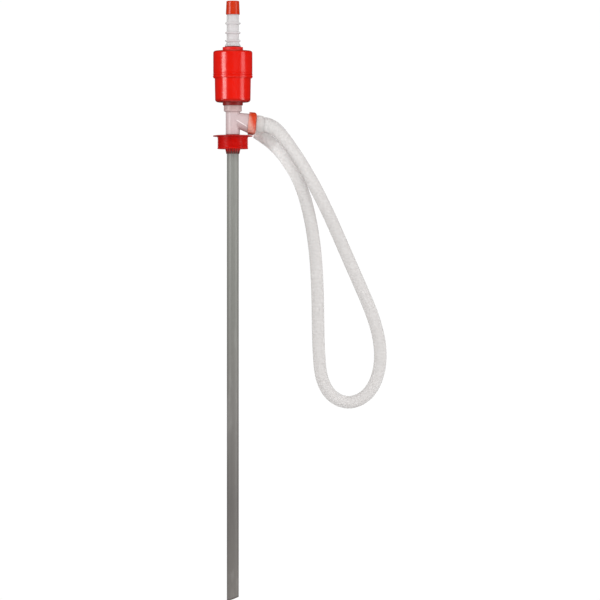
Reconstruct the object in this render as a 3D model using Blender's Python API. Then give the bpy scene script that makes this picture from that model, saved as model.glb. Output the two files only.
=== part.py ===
"""Hand siphon pump for drums: telescoping bellows pump on a tee, suction tube, bung adapter, hose.

Metres, +Z up. The origin is on the pump's axis, at the underside of the bung adapter's flange.
The spout and the hose are on the +X side. Radii and heights are those of the real pump.
"""

import math

import bmesh
import bpy
import numpy as np
from mathutils import Matrix, Vector

# ---------------------------------------------------------------- driving dimensions, in metres
MM = 0.001
GAP = 0.3 * MM  # left between pieces that touch

SIDES_LARGE = 30
SIDES_MEDIUM = 24
SIDES_SMALL = 18
SMOOTH_ANGLE = math.radians(35)

# suction tube
TUBE_RADIUS = 11.65 * MM
TUBE_BORE = 9.5 * MM
TUBE_TOP = 12.3 * MM
TUBE_FOOT = -906.2 * MM  # on the axis, where the slanted cut crosses it
TUBE_CUT_SLOPE = 0.378

# bung adapter
FLANGE_RADIUS = 38.9 * MM
FLANGE_THICK = 2.5 * MM
HUB_TOP = 3.8 * MM
HUB_RADIUS = 14.9 * MM
THREAD_RADIUS = 30.15 * MM
THREAD_DEPTH = 24.2 * MM
SKIRT_WALL = 2.6 * MM
WEB_UNDER = -2.4 * MM
COLLET_BOTTOM = -34.0 * MM
COLLET_TIP_RADIUS = 12.8 * MM
COLLET_BORE = 12.0 * MM
COLLET_SLOTS = 16
COLLET_SLOT_SIZE = (6.0 * MM, 1.5 * MM, 16.0 * MM)
COLLET_SLOT_Z = -28.0 * MM
SEAL_Z = -13.8 * MM
SEAL_HEIGHT = 3.0 * MM
SEAL_BULGE = 0.7 * MM
SEAL_GROOVE_RADIUS = COLLET_BORE + 2.3 * MM

# tee body
TEE_BOTTOM = HUB_TOP + GAP
TEE_RADIUS = 13.9 * MM
TEE_BORE = 12.0 * MM
TEE_COLLAR_Z = 48.2 * MM
TEE_COLLAR_TOP = 60.9 * MM
TEE_COLLAR_RADIUS = 17.65 * MM
TEE_NECK_RADIUS = 13.5 * MM
TEE_NECK_BORE = 10.5 * MM
TEE_NECK_TOP = 86.0 * MM
TEE_WALL = 2.2 * MM

# spout: distances u run along the outlet axis, from where it crosses the pump's axis
OUTLET_TILT = math.radians(5)
OUTLET_Z = 28.66 * MM
SPOUT_ROOT = Vector((6.0 * MM, 0, 32.5 * MM))
SPOUT_ROOT_HALF_HEIGHT = 15.2 * MM
SPOUT_ROOT_HALF_WIDTH = 12.5 * MM
SPOUT_END_RADIUS = 19.0 * MM
SPOUT_END_U = 30.2 * MM
SPOUT_THREAD_RADIUS = 18.4 * MM
SPOUT_THREAD_BORE = 16.0 * MM
SPOUT_LEDGE_RADIUS = 14.5 * MM
SPOUT_LEDGE_U = (28.6 * MM, 30.7 * MM)
SPOUT_TIP_U = 41.0 * MM
SPOUT_RINGS = 5

# outlet valve
SEAT_U = (31.0 * MM, 33.2 * MM)
SEAT_RADIUS = 15.7 * MM
PORT_RADIUS = 6.5 * MM
FLAP_RADIUS = 8.0 * MM
FLAP_THICK = 1.1 * MM
PIVOT_RISE = 10.4 * MM
PIVOT_U = SEAT_U[1] + 2.6 * MM
PIN_RADIUS = 0.9 * MM
PIN_HOLE = 1.25 * MM
KNUCKLE_RADIUS = 2.2 * MM
KNUCKLE_HALF_WIDTH = 3.6 * MM
EAR_INSIDE = 4.2 * MM
EAR_THICK = 1.8 * MM

# union nut, hose tail and cuff
NUT_U = (30.9 * MM, 46.2 * MM)
NUT_SHOULDER_U = 40.5 * MM
NUT_RADIUS = 22.3 * MM
NUT_BORE = 18.75 * MM
NUT_LIP_U = 43.6 * MM
NUT_DOME_STEPS = 5
NUT_LIP_BORE = 11.5 * MM
NUT_FACE_RADIUS = 15.6 * MM
TAIL_FLANGE_U = (SPOUT_TIP_U + GAP, 43.3 * MM)
TAIL_FLANGE_RADIUS = 17.8 * MM
TAIL_RADIUS = 9.3 * MM
TAIL_BARB_RADIUS = 10.1 * MM
TAIL_BORE = 7.4 * MM
TAIL_MOUTH_RADIUS = 9.7 * MM
TAIL_MOUTH_DEPTH = 2.6 * MM
TAIL_END_U = 55.0 * MM
TAIL_BARBS = 4
CUFF_U = (NUT_U[1] + GAP, 61.5 * MM)
CUFF_STEP_U = 55.4 * MM
CUFF_RADII = (17.2 * MM, 17.0 * MM, 15.3 * MM)
CUFF_BORES = (10.5 * MM, 13.4 * MM)

# hose
HOSE_RADIUS = 12.7 * MM
HOSE_START_U = 55.8 * MM
HOSE_POINTS = 72
HOSE_BEVEL_RESOLUTION = 2
HOSE_ROUTE_MM = (  # x, y, z, from just past the cuff to the free end
    (74.6, 0, 19.4),
    (87.2, 0, 11.3),
    (94.1, 0, 4.3),
    (105.4, 0, -9.4),
    (114.5, 0, -22.3),
    (130.4, 0, -46.0),
    (145.2, 0, -70.4),
    (160.0, 0, -96.6),
    (176.4, 0, -128.6),
    (194.4, 0, -166.6),
    (213.8, 0, -210.6),
    (234.4, 0, -257.6),
    (255.4, 0, -305.6),
    (273.6, 0, -350.6),
    (285.6, 0, -393.6),
    (289.0, 0, -434.6),
    (281.6, 0, -474.6),
    (259.6, 0, -508.0),
    (226.4, 0, -520.6),
    (194.4, 0, -507.6),
    (175.4, 0, -474.6),
    (169.4, 0, -432.6),
    (167.6, 0, -390.6),
    (166.8, 0, -341.6),
    (165.4, 1.0, -288.6),
    (162.2, 3.4, -236.6),
    (156.4, 7.0, -188.6),
    (147.8, 11.6, -144.6),
    (138.0, 15.4, -109.6),
    (127.0, 18.2, -81.6),
    (114.4, 19.6, -59.0),
    (100.4, 21.0, -38.6),
    (84.8, 23.4, -20.6),
    (67.0, 26.8, -5.2),
    (46.4, 30.0, 9.0),
)
TIE_AT_MM = (102.0, 0, -5.2)
TIE_WIDTH = 4.0 * MM
TIE_THICK = 1.2 * MM
TIE_CLEARANCE = 1.5 * MM

# suction valve
GASKET_THICK = 1.2 * MM
VALVE_SEAT_BOTTOM = TUBE_TOP + 2 * GAP + GASKET_THICK
VALVE_SEAT_HEIGHT = 4.2 * MM
VALVE_SEAT_RADIUS = 11.6 * MM
VALVE_THROAT = 5.0 * MM
VALVE_CONE_Z = VALVE_SEAT_BOTTOM + 0.7 * MM
BALL_RADIUS = 7.5 * MM
BALL_Z = VALVE_CONE_Z + (BALL_RADIUS + GAP) * math.sqrt(2) - VALVE_THROAT
CAGE_RADII = (8.25 * MM, 11.6 * MM)
CAGE_LID_Z = 33.9 * MM
CAGE_TOP = 36.2 * MM
CAGE_LID_HOLE = 4.0 * MM
CAGE_WINDOW = (9.0 * MM, 21.5 * MM, 31.8 * MM)  # width, bottom, top

# lower cup
LOWER_CUP_BOTTOM = 67.2 * MM
LOWER_CUP_RADII = (34.6 * MM, 35.5 * MM)
LOWER_CUP_CORNER = 6.0 * MM
LOWER_CUP_FLOOR = 69.7 * MM
LOWER_CUP_INSIDE = 32.0 * MM
LOWER_CUP_SHOULDER_Z = 118.6 * MM
LOWER_CUP_GROOVE_RADIUS = 34.0 * MM
LOWER_CUP_BEAD_Z = 123.6 * MM
LOWER_CUP_BEAD_RADIUS = 35.9 * MM
LOWER_CUP_TOP = 125.8 * MM
LOWER_BOSS_RADIUS = 19.75 * MM
LOWER_BOSS_BOTTOM = 61.2 * MM
NECK_HOLE = TEE_NECK_RADIUS + GAP

# pieces round the tee's neck, inside the lower cup
NUT_STACK_RADIUS = 18.5 * MM
BODY_NUT_HEIGHT = 6.0 * MM
BODY_GASKET_THICK = 1.4 * MM
LOWER_CLAMP_RISE = 1.2 * MM

# upper cup
UPPER_CUP_RIM = 114.5 * MM
UPPER_CUP_BEAD_TOP = 124.3 * MM
UPPER_CUP_GROOVE_Z = 121.1 * MM
UPPER_CUP_GROOVE = 0.45 * MM
UPPER_CUP_RADIUS = 38.5 * MM
UPPER_CUP_BEAD_RADIUS = 39.1 * MM
UPPER_CUP_CORNER = 4.5 * MM
UPPER_CUP_SHOULDER_Z = 167.8 * MM
UPPER_CUP_CEILING = 165.4 * MM
UPPER_CUP_INSIDE = 36.5 * MM
UPPER_CUP_STOP_RADIUS = 35.9 * MM
UPPER_CUP_STOP_Z = 118.0 * MM
UPPER_BOSS_RADIUS = 20.0 * MM
UPPER_BOSS_BOTTOM = 169.0 * MM
UPPER_BOSS_TOP = 175.2 * MM

# grip stem and vent cap
STEM_NECK_RADIUS = 9.5 * MM
STEM_NECK_BORE = 7.2 * MM
STEM_BOTTOM = 150.0 * MM
STEM_FLARE_Z = 177.0 * MM
STEM_FLARE_RADIUS = 15.8 * MM
STEM_FLARE_TOP = 185.2 * MM
STEM_RADIUS = 12.0 * MM
STEM_BORE = 9.6 * MM
STEM_RINGS_Z = (187.4 * MM, 203.3 * MM, 221.7 * MM)
STEM_RING_RADIUS = 15.2 * MM
STEM_RING_HALF = 1.5 * MM
STEM_SHOULDER = 238.8 * MM
VENT_NECK_RADIUS = 10.8 * MM
VENT_NECK_BORE = 8.4 * MM
VENT_NECK_TOP = 258.0 * MM
CAP_BOTTOM = 239.2 * MM
CAP_TOP = 265.9 * MM
CAP_RADII = (13.6 * MM, 12.5 * MM)
CAP_CORNER = 3.0 * MM
CAP_BORE = 11.2 * MM
CAP_CEILING = 261.5 * MM
STEM_HOLE = STEM_NECK_RADIUS + GAP
STEM_NUT_HALF = 15.0 * MM
STEM_NUT_HEIGHT = 6.4 * MM

# bellows
BELLOWS_WALL = 1.2 * MM
BELLOWS_FOOT = 78.4 * MM
BELLOWS_LOWER_COLLAR_TOP = 86.4 * MM
BELLOWS_UPPER_COLLAR_BOTTOM = 150.4 * MM
BELLOWS_HEAD = 157.6 * MM
BELLOWS_ROOT_RADIUS = 19.0 * MM
BELLOWS_CREST_RADIUS = 28.6 * MM
BELLOWS_FOLDS = 6
CLAMP_THICK = 2.4 * MM
CLAMP_HEIGHT = 5.0 * MM
UPPER_CLAMP_DROP = 6.0 * MM

# colours
RED = (0.745, 0.012, 0.006)
DEEP_RED = (0.584, 0.006, 0.004)
ORANGE_RED = (0.776, 0.062, 0.014)
GREY = (0.275, 0.275, 0.258)
MILKY = (0.694, 0.672, 0.665)
NATURAL = (0.79, 0.78, 0.74)
RUBBER = (0.03, 0.03, 0.032)
WHITE = (0.8, 0.8, 0.78)
STEEL = (0.6, 0.6, 0.6)


# ---------------------------------------------------------------- helpers
def clear_scene():
    for o in list(bpy.data.objects):
        bpy.data.objects.remove(o, do_unlink=True)


def plastic(name, colour, roughness, alpha=1.0):
    """A moulded plastic or rubber of one colour."""
    m = bpy.data.materials.get(name) or bpy.data.materials.new(name)
    m.use_nodes = True
    shader = m.node_tree.nodes["Principled BSDF"]
    shader.inputs["Base Color"].default_value = (*colour, 1.0)
    shader.inputs["Roughness"].default_value = roughness
    shader.inputs["Metallic"].default_value = 0.0
    shader.inputs["Alpha"].default_value = alpha
    return m


def add_object(name, bm, material=None, parent=None):
    """The bmesh as an object, shaded smooth but for its sharp edges."""
    bmesh.ops.recalc_face_normals(bm, faces=bm.faces)
    mesh = bpy.data.meshes.new(name)
    bm.to_mesh(mesh)
    bm.free()
    mesh.shade_smooth()
    mesh.set_sharp_from_angle(angle=SMOOTH_ANGLE)
    o = bpy.data.objects.new(name, mesh)
    bpy.context.scene.collection.objects.link(o)
    if material:
        mesh.materials.append(material)
    o.parent = parent
    return o


def spun(outline, sides):
    """A bmesh of the closed outline of (radius, height) points, spun round Z."""
    bm = bmesh.new()
    verts = [bm.verts.new((r, 0, z)) for r, z in outline]
    edges = [bm.edges.new((a, b)) for a, b in zip(verts, verts[1:] + verts[:1])]
    on_axis = [e for e in edges if all(v.co.x < 1e-9 for v in e.verts)]
    bmesh.ops.delete(bm, geom=on_axis, context="EDGES_FACES")
    bmesh.ops.spin(
        bm,
        geom=bm.verts[:] + bm.edges[:],
        cent=(0, 0, 0),
        axis=(0, 0, 1),
        angle=2 * math.pi,
        steps=sides,
        use_merge=True,
    )
    bmesh.ops.remove_doubles(bm, verts=bm.verts, dist=1e-6)
    return bm


def turned(name, outline, sides, material=None, parent=None):
    return add_object(name, spun(outline, sides), material, parent)


def arc(centre, radius, start, end, steps):
    """Points on an arc in the (radius, height) plane, from start to end degrees."""
    angles = [math.radians(start + (end - start) * i / steps) for i in range(steps + 1)]
    return [(centre[0] + radius * math.cos(a), centre[1] + radius * math.sin(a)) for a in angles]


def ring(inner, outer, bottom, top):
    """The outline of a plain ring."""
    return [(inner, bottom), (outer, bottom), (outer, top), (inner, top)]


def stack(name, inner, outer, bottom, height, material, parent=None):
    """A plain turned ring, such as a gasket or a clamp."""
    return turned(name, ring(inner, outer, bottom, bottom + height), SIDES_MEDIUM, material, parent)


def hexagon(name, hole, across_half, bottom, height, material):
    """A six-sided nut with a round hole."""
    bm = spun(ring(hole, across_half / math.cos(math.pi / 6), bottom, bottom + height), 24)
    for v in bm.verts:
        radius = math.hypot(v.co.x, v.co.y)
        if radius > hole * 1.05:
            a = math.atan2(v.co.y, v.co.x)
            off = (a + math.pi / 6) % (math.pi / 3) - math.pi / 6
            flat = across_half / math.cos(off)
            v.co.x, v.co.y = flat * math.cos(a), flat * math.sin(a)
    return add_object(name, bm, material)


def box(name, low, high, material=None, parent=None):
    bm = bmesh.new()
    bmesh.ops.create_cube(bm, size=1.0)
    size = Vector(high) - Vector(low)
    middle = (Vector(high) + Vector(low)) / 2
    bmesh.ops.transform(bm, matrix=Matrix.Translation(middle) @ Matrix.Diagonal((*size, 1)), verts=bm.verts)
    return add_object(name, bm, material, parent)


def rod_y(name, radius, half_length, sides, at=(0, 0, 0), material=None, parent=None):
    """A round rod along Y."""
    bm = spun(ring(0, radius, -half_length, half_length), sides)
    bmesh.ops.rotate(bm, cent=(0, 0, 0), matrix=Matrix.Rotation(math.pi / 2, 3, "X"), verts=bm.verts)
    bmesh.ops.translate(bm, vec=at, verts=bm.verts)
    return add_object(name, bm, material, parent)


def combine(o, other, operation):
    """Adds or cuts another object, which stays hidden as a guide."""
    m = o.modifiers.new(f"{operation.lower()} {other.name}", "BOOLEAN")
    m.object = other
    m.operation = operation
    m.solver = "EXACT"
    other.hide_render = True
    other.display_type = "WIRE"


def ribbon(points, thick):
    """The outline of a wall of even thickness along a line of (radius, height) points."""
    line = [Vector(p) for p in points]
    sides = ([], [])
    for i, p in enumerate(line):
        before = (p - line[i - 1]).normalized() if i else None
        after = (line[i + 1] - p).normalized() if i + 1 < len(line) else None
        along = ((before or after) + (after or before)).normalized()
        across = Vector((-along.y, along.x))
        reach = thick / 2 / max(0.3, across.dot(Vector((-(after or before).y, (after or before).x))))
        sides[0].append(tuple(p + across * reach))
        sides[1].append(tuple(p - across * reach))
    return sides[0] + sides[1][::-1]


def smooth_line(points, samples, skip=0):
    """Evenly spaced points on a natural cubic spline through the given points, from point number skip on."""
    line = np.array(points)
    at = np.concatenate([[0], np.cumsum(np.linalg.norm(np.diff(line, axis=0), axis=1))])
    step = np.diff(at)
    count = len(line)
    system, right = np.eye(count), np.zeros((count, 3))
    for i in range(1, count - 1):
        system[i, i - 1 : i + 2] = step[i - 1], 2 * (step[i - 1] + step[i]), step[i]
        right[i] = 6 * ((line[i + 1] - line[i]) / step[i] - (line[i] - line[i - 1]) / step[i - 1])
    bend = np.linalg.solve(system, right)
    t = np.linspace(at[skip], at[-1], 40 * count)
    k = np.clip(np.searchsorted(at, t, side="right") - 1, 0, count - 2)
    b, a = (t - at[k]) / step[k], (at[k + 1] - t) / step[k]
    curved = ((a**3 - a)[:, None] * bend[k] + (b**3 - b)[:, None] * bend[k + 1]) * step[k][:, None] ** 2 / 6
    fine = a[:, None] * line[k] + b[:, None] * line[k + 1] + curved
    reached = np.concatenate([[0], np.cumsum(np.linalg.norm(np.diff(fine, axis=0), axis=1))])
    want = np.linspace(0, reached[-1], samples)
    return [Vector(p) for p in np.stack([np.interp(want, reached, fine[:, c]) for c in range(3)], axis=1)]


# ---------------------------------------------------------------- the bung adapter and the tube
def make_bung_adapter(red):
    skirt_inside = THREAD_RADIUS - SKIRT_WALL
    rim = FLANGE_THICK / 2
    groove = (SEAL_Z - SEAL_HEIGHT / 2 - GAP, SEAL_Z + SEAL_HEIGHT / 2 + GAP)
    outline = [
        (COLLET_BORE, COLLET_BOTTOM),
        (COLLET_TIP_RADIUS, COLLET_BOTTOM),
        (HUB_RADIUS, -THREAD_DEPTH),
        (HUB_RADIUS + 1.2 * MM, -THREAD_DEPTH + 3 * MM),
        (HUB_RADIUS + 2.0 * MM, WEB_UNDER),
        (skirt_inside, WEB_UNDER),
        (skirt_inside, -THREAD_DEPTH),
        (THREAD_RADIUS, -THREAD_DEPTH),
        (THREAD_RADIUS, 0),
        (FLANGE_RADIUS - rim / 2, 0),
        *arc((FLANGE_RADIUS - rim, rim), rim, -60, 60, 3),
        (FLANGE_RADIUS - rim / 2, FLANGE_THICK),
        (HUB_RADIUS, FLANGE_THICK),
        (HUB_RADIUS, HUB_TOP),
        (COLLET_BORE, HUB_TOP),
        (COLLET_BORE, groove[1]),
        (SEAL_GROOVE_RADIUS, groove[1]),
        (SEAL_GROOVE_RADIUS, groove[0]),
        (COLLET_BORE, groove[0]),
    ]
    adapter = turned("bung_adapter", outline, SIDES_LARGE, red)
    bm = bmesh.new()
    for i in range(COLLET_SLOTS):
        slot = bmesh.ops.create_cube(bm, size=1.0)["verts"]
        size = Matrix.Diagonal((*COLLET_SLOT_SIZE, 1))
        place = Matrix.Translation((HUB_RADIUS - 1.2 * MM, 0, COLLET_SLOT_Z))
        turn = Matrix.Rotation(2 * math.pi * (i + 0.5) / COLLET_SLOTS, 4, "Z")
        bmesh.ops.transform(bm, matrix=turn @ place @ size, verts=slot)
    combine(adapter, add_object("collet_slot_cutter", bm), "DIFFERENCE")
    return adapter


def make_tube_seal_ring(rubber):
    half = SEAL_HEIGHT / 2
    inner, outer = TUBE_RADIUS + GAP, SEAL_GROOVE_RADIUS - GAP
    outline = [
        (inner, SEAL_Z - half + SEAL_BULGE),
        (inner + SEAL_BULGE, SEAL_Z - half),
        (outer, SEAL_Z - half),
        (outer, SEAL_Z + half),
        (inner + SEAL_BULGE, SEAL_Z + half),
        (inner, SEAL_Z + half - SEAL_BULGE),
    ]
    return turned("tube_seal_ring", outline, SIDES_MEDIUM, rubber)


def make_suction_tube(grey):
    bm = spun(ring(TUBE_BORE, TUBE_RADIUS, TUBE_FOOT, TUBE_TOP), SIDES_MEDIUM)
    for v in bm.verts:
        if v.co.z < 0:
            v.co.z = TUBE_FOOT + TUBE_CUT_SLOPE * v.co.x
    return add_object("suction_tube", bm, grey)


# ---------------------------------------------------------------- the tee and its spout
def outlet_axis():
    """An empty at the outlet axis: its own +Z runs down the spout, and its own -X is up."""
    empty = bpy.data.objects.new("outlet_axis", None)
    bpy.context.scene.collection.objects.link(empty)
    empty.location = (0, 0, OUTLET_Z)
    empty.rotation_euler = (0, math.pi / 2 + OUTLET_TILT, 0)
    return empty


def spout_body(name, inset, end_u, tail):
    """The flared spout as a loft of rings from the tee's middle, then the rings in tail as (u, radius)."""
    to_outlet = Matrix.Translation((0, 0, OUTLET_Z)) @ Matrix.Rotation(math.pi / 2 + OUTLET_TILT, 4, "Y")
    end = to_outlet @ Vector((0, 0, end_u))
    share_at_end = (end.x - SPOUT_ROOT.x) / (SPOUT_END_U - SPOUT_ROOT.x)
    rows = []
    for i in range(SPOUT_RINGS):
        share = i / (SPOUT_RINGS - 1)
        grown = share * min(1.0, share_at_end)
        centre = SPOUT_ROOT.lerp(end, share)
        half_height = SPOUT_ROOT_HALF_HEIGHT + (SPOUT_END_RADIUS - SPOUT_ROOT_HALF_HEIGHT) * grown - inset
        half_width = SPOUT_ROOT_HALF_WIDTH + (SPOUT_END_RADIUS - SPOUT_ROOT_HALF_WIDTH) * grown - inset
        lean = OUTLET_TILT * share
        rows.append((centre, lean, half_height, half_width))
    for u, radius in tail:
        rows.append((to_outlet @ Vector((0, 0, u)), OUTLET_TILT, radius, radius))
    bm = bmesh.new()
    rings = []
    for centre, lean, half_height, half_width in rows:
        row = []
        for k in range(SIDES_MEDIUM):
            a = 2 * math.pi * k / SIDES_MEDIUM
            up = half_height * math.cos(a)
            aside = half_width * math.sin(a)
            row.append(bm.verts.new(centre + Vector((up * math.sin(lean), aside, up * math.cos(lean)))))
        rings.append(row)
    for a, b in zip(rings, rings[1:]):
        for k in range(SIDES_MEDIUM):
            n = (k + 1) % SIDES_MEDIUM
            bm.faces.new((a[k], a[n], b[n], b[k]))
    bm.faces.new(rings[0])
    bm.faces.new(rings[-1])
    return add_object(name, bm)


def make_tee_body(milky):
    outline = [
        (0, TEE_BOTTOM),
        (TEE_RADIUS - 0.5 * MM, TEE_BOTTOM),
        (TEE_RADIUS, TEE_BOTTOM + 0.5 * MM),
        (TEE_RADIUS, TEE_COLLAR_Z),
        (TEE_COLLAR_RADIUS - 0.8 * MM, TEE_COLLAR_Z + 0.6 * MM),
        (TEE_COLLAR_RADIUS, TEE_COLLAR_Z + 1.6 * MM),
        (TEE_COLLAR_RADIUS, TEE_COLLAR_TOP),
        (TEE_NECK_RADIUS, TEE_COLLAR_TOP),
        (TEE_NECK_RADIUS, TEE_NECK_TOP),
        (0, TEE_NECK_TOP),
    ]
    tee = turned("tee_body", outline, SIDES_MEDIUM, milky)
    outside = spout_body(
        "spout_outside",
        0.0,
        SPOUT_END_U,
        [(SPOUT_END_U + 0.1 * MM, SPOUT_THREAD_RADIUS), (SPOUT_TIP_U, SPOUT_THREAD_RADIUS)],
    )
    inside = spout_body(
        "spout_inside",
        TEE_WALL,
        SPOUT_LEDGE_U[0],
        [
            (SPOUT_LEDGE_U[0] + 0.1 * MM, SPOUT_LEDGE_RADIUS),
            (SPOUT_LEDGE_U[1], SPOUT_LEDGE_RADIUS),
            (SPOUT_LEDGE_U[1] + 0.1 * MM, SPOUT_THREAD_BORE),
            (SPOUT_TIP_U + 2 * MM, SPOUT_THREAD_BORE),
        ],
    )
    bore = turned(
        "tee_bore",
        [
            (0, TEE_BOTTOM - 1 * MM),
            (TEE_BORE, TEE_BOTTOM - 1 * MM),
            (TEE_BORE, TEE_COLLAR_Z + 2 * MM),
            (TEE_NECK_BORE, TEE_COLLAR_Z + 6 * MM),
            (TEE_NECK_BORE, TEE_NECK_TOP + 1 * MM),
            (0, TEE_NECK_TOP + 1 * MM),
        ],
        SIDES_MEDIUM,
    )
    combine(tee, outside, "UNION")
    combine(tee, bore, "DIFFERENCE")
    combine(tee, inside, "DIFFERENCE")
    return tee


# ---------------------------------------------------------------- the suction valve
def make_suction_valve(white, rubber, natural):
    stack("tube_gasket", TUBE_BORE + 0.1 * MM, VALVE_SEAT_RADIUS, TUBE_TOP + GAP, GASKET_THICK, rubber)
    top = VALVE_SEAT_BOTTOM + VALVE_SEAT_HEIGHT
    mouth = VALVE_THROAT + top - VALVE_CONE_Z
    seat = [
        (VALVE_THROAT, VALVE_SEAT_BOTTOM),
        (VALVE_SEAT_RADIUS, VALVE_SEAT_BOTTOM),
        (VALVE_SEAT_RADIUS, top),
        (mouth, top),
        (VALVE_THROAT, VALVE_CONE_Z),
    ]
    turned("suction_valve_seat", seat, SIDES_MEDIUM, white)
    bm = bmesh.new()
    bmesh.ops.create_uvsphere(bm, u_segments=16, v_segments=10, radius=BALL_RADIUS)
    ball = add_object("suction_ball", bm, rubber)
    ball.location = (0, 0, BALL_Z)
    inner, outer = CAGE_RADII
    cage = [
        (inner, top + GAP),
        (outer, top + GAP),
        (outer, CAGE_TOP),
        (CAGE_LID_HOLE, CAGE_TOP),
        (CAGE_LID_HOLE, CAGE_LID_Z),
        (inner, CAGE_LID_Z),
    ]
    cage = turned("ball_cage", cage, SIDES_SMALL, natural)
    width, low, high = CAGE_WINDOW
    reach = outer + 2 * MM
    combine(cage, box("cage_windows_x", (-reach, -width / 2, low), (reach, width / 2, high)), "DIFFERENCE")
    combine(cage, box("cage_windows_y", (-width / 2, -reach, low), (width / 2, reach, high)), "DIFFERENCE")


# ---------------------------------------------------------------- the outlet valve
def make_outlet_valve(white, rubber, steel, axis):
    pivot = (-PIVOT_RISE, 0, PIVOT_U)
    seat = turned("outlet_valve_seat", ring(PORT_RADIUS, SEAT_RADIUS, *SEAT_U), SIDES_MEDIUM, white, axis)
    ear_half = 2.0 * MM
    for side in (-1, 1):
        near, far = side * EAR_INSIDE, side * (EAR_INSIDE + EAR_THICK)
        ear = box(
            f"ear_{'left' if side < 0 else 'right'}",
            (-PIVOT_RISE - ear_half, min(near, far), SEAT_U[1] - 0.5 * MM),
            (-PIVOT_RISE + ear_half, max(near, far), PIVOT_U + ear_half),
            parent=axis,
        )
        combine(seat, ear, "UNION")
    combine(seat, rod_y("ear_holes", PIN_HOLE, 9 * MM, 12, pivot, parent=axis), "DIFFERENCE")

    half_pin = EAR_INSIDE + EAR_THICK + 0.8 * MM
    rod_y("flap_pin", PIN_RADIUS, half_pin, 12, pivot, steel, axis)

    face = SEAT_U[1] + GAP - PIVOT_U
    flap = turned("outlet_flap", ring(0, FLAP_RADIUS, face, face + FLAP_THICK), SIDES_SMALL, rubber, axis)
    for v in flap.data.vertices:
        v.co.x += PIVOT_RISE
    flap.location = pivot
    arm = box(
        "flap_arm",
        (0, -KNUCKLE_HALF_WIDTH, face + 0.05 * MM),
        (PIVOT_RISE - FLAP_RADIUS + 3 * MM, KNUCKLE_HALF_WIDTH, face + FLAP_THICK + 0.4 * MM),
        parent=axis,
    )
    arm.location = pivot
    knuckle = rod_y("flap_knuckle", KNUCKLE_RADIUS, KNUCKLE_HALF_WIDTH, 12, parent=axis)
    knuckle.location = pivot
    hole = rod_y("flap_hole", PIN_HOLE, 9 * MM, 12, parent=axis)
    hole.location = pivot
    combine(flap, arm, "UNION")
    combine(flap, knuckle, "UNION")
    combine(flap, hole, "DIFFERENCE")


# ---------------------------------------------------------------- nut, tail, cuff, hose and tie
def make_outlet_fittings(orange, white, soft, axis):
    depth = NUT_U[1] - NUT_SHOULDER_U
    fall = NUT_RADIUS - NUT_FACE_RADIUS
    dome = []
    for i in range(1, NUT_DOME_STEPS + 1):
        a = math.radians(90 * i / NUT_DOME_STEPS)
        dome.append((NUT_FACE_RADIUS + fall * math.cos(a), NUT_SHOULDER_U + depth * math.sin(a)))
    nut = [
        (NUT_BORE, NUT_U[0]),
        (NUT_RADIUS - 0.6 * MM, NUT_U[0]),
        (NUT_RADIUS, NUT_U[0] + 0.6 * MM),
        (NUT_RADIUS, NUT_SHOULDER_U),
        *dome,
        (NUT_LIP_BORE, NUT_U[1]),
        (NUT_LIP_BORE, NUT_LIP_U),
        (NUT_BORE, NUT_LIP_U),
    ]
    turned("outlet_nut", nut, SIDES_LARGE, orange, axis)

    barb = (TAIL_END_U - CUFF_U[0]) / TAIL_BARBS
    tail = [
        (TAIL_MOUTH_RADIUS, TAIL_FLANGE_U[0]),
        (TAIL_FLANGE_RADIUS, TAIL_FLANGE_U[0]),
        (TAIL_FLANGE_RADIUS, TAIL_FLANGE_U[1]),
        (TAIL_RADIUS, TAIL_FLANGE_U[1]),
    ]
    for i in range(TAIL_BARBS):
        start = CUFF_U[0] + i * barb
        tail += [(TAIL_RADIUS, start + 0.4 * MM), (TAIL_BARB_RADIUS, start + 0.9 * MM)]
    tail += [
        (TAIL_RADIUS, TAIL_END_U),
        (TAIL_BORE, TAIL_END_U),
        (TAIL_BORE, TAIL_FLANGE_U[0] + TAIL_MOUTH_DEPTH),
    ]
    turned("hose_tail", tail, SIDES_SMALL, white, axis)

    cuff = [
        (CUFF_BORES[0], CUFF_U[0]),
        (CUFF_RADII[0] - 0.8 * MM, CUFF_U[0]),
        (CUFF_RADII[0], CUFF_U[0] + 0.8 * MM),
        (CUFF_RADII[1], CUFF_STEP_U),
        (CUFF_RADII[2], CUFF_U[1]),
        (CUFF_BORES[1], CUFF_U[1]),
        (CUFF_BORES[1], CUFF_STEP_U),
        (CUFF_BORES[0], CUFF_STEP_U),
    ]
    turned("hose_cuff", cuff, SIDES_MEDIUM, soft, axis)


def hose_line():
    """The hose's centreline: straight out of the cuff, then along the route."""
    along = Vector((math.cos(OUTLET_TILT), 0, -math.sin(OUTLET_TILT)))
    start = Vector((0, 0, OUTLET_Z)) + along * HOSE_START_U
    mouth = Vector((0, 0, OUTLET_Z)) + along * (CUFF_U[1] - 1 * MM)
    route = [Vector(p) * MM for p in HOSE_ROUTE_MM]
    return [start, *smooth_line([start, mouth, *route], HOSE_POINTS - 1, 1)]


def make_hose(soft):
    curve = bpy.data.curves.new("hose", "CURVE")
    curve.dimensions = "3D"
    curve.bevel_depth = HOSE_RADIUS
    curve.bevel_resolution = HOSE_BEVEL_RESOLUTION
    curve.use_fill_caps = True
    spline = curve.splines.new("POLY")
    line = hose_line()
    spline.points.add(len(line) - 1)
    for point, place in zip(spline.points, line):
        point.co = (*place, 1)
    curve.materials.append(soft)
    o = bpy.data.objects.new("hose", curve)
    bpy.context.scene.collection.objects.link(o)


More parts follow.
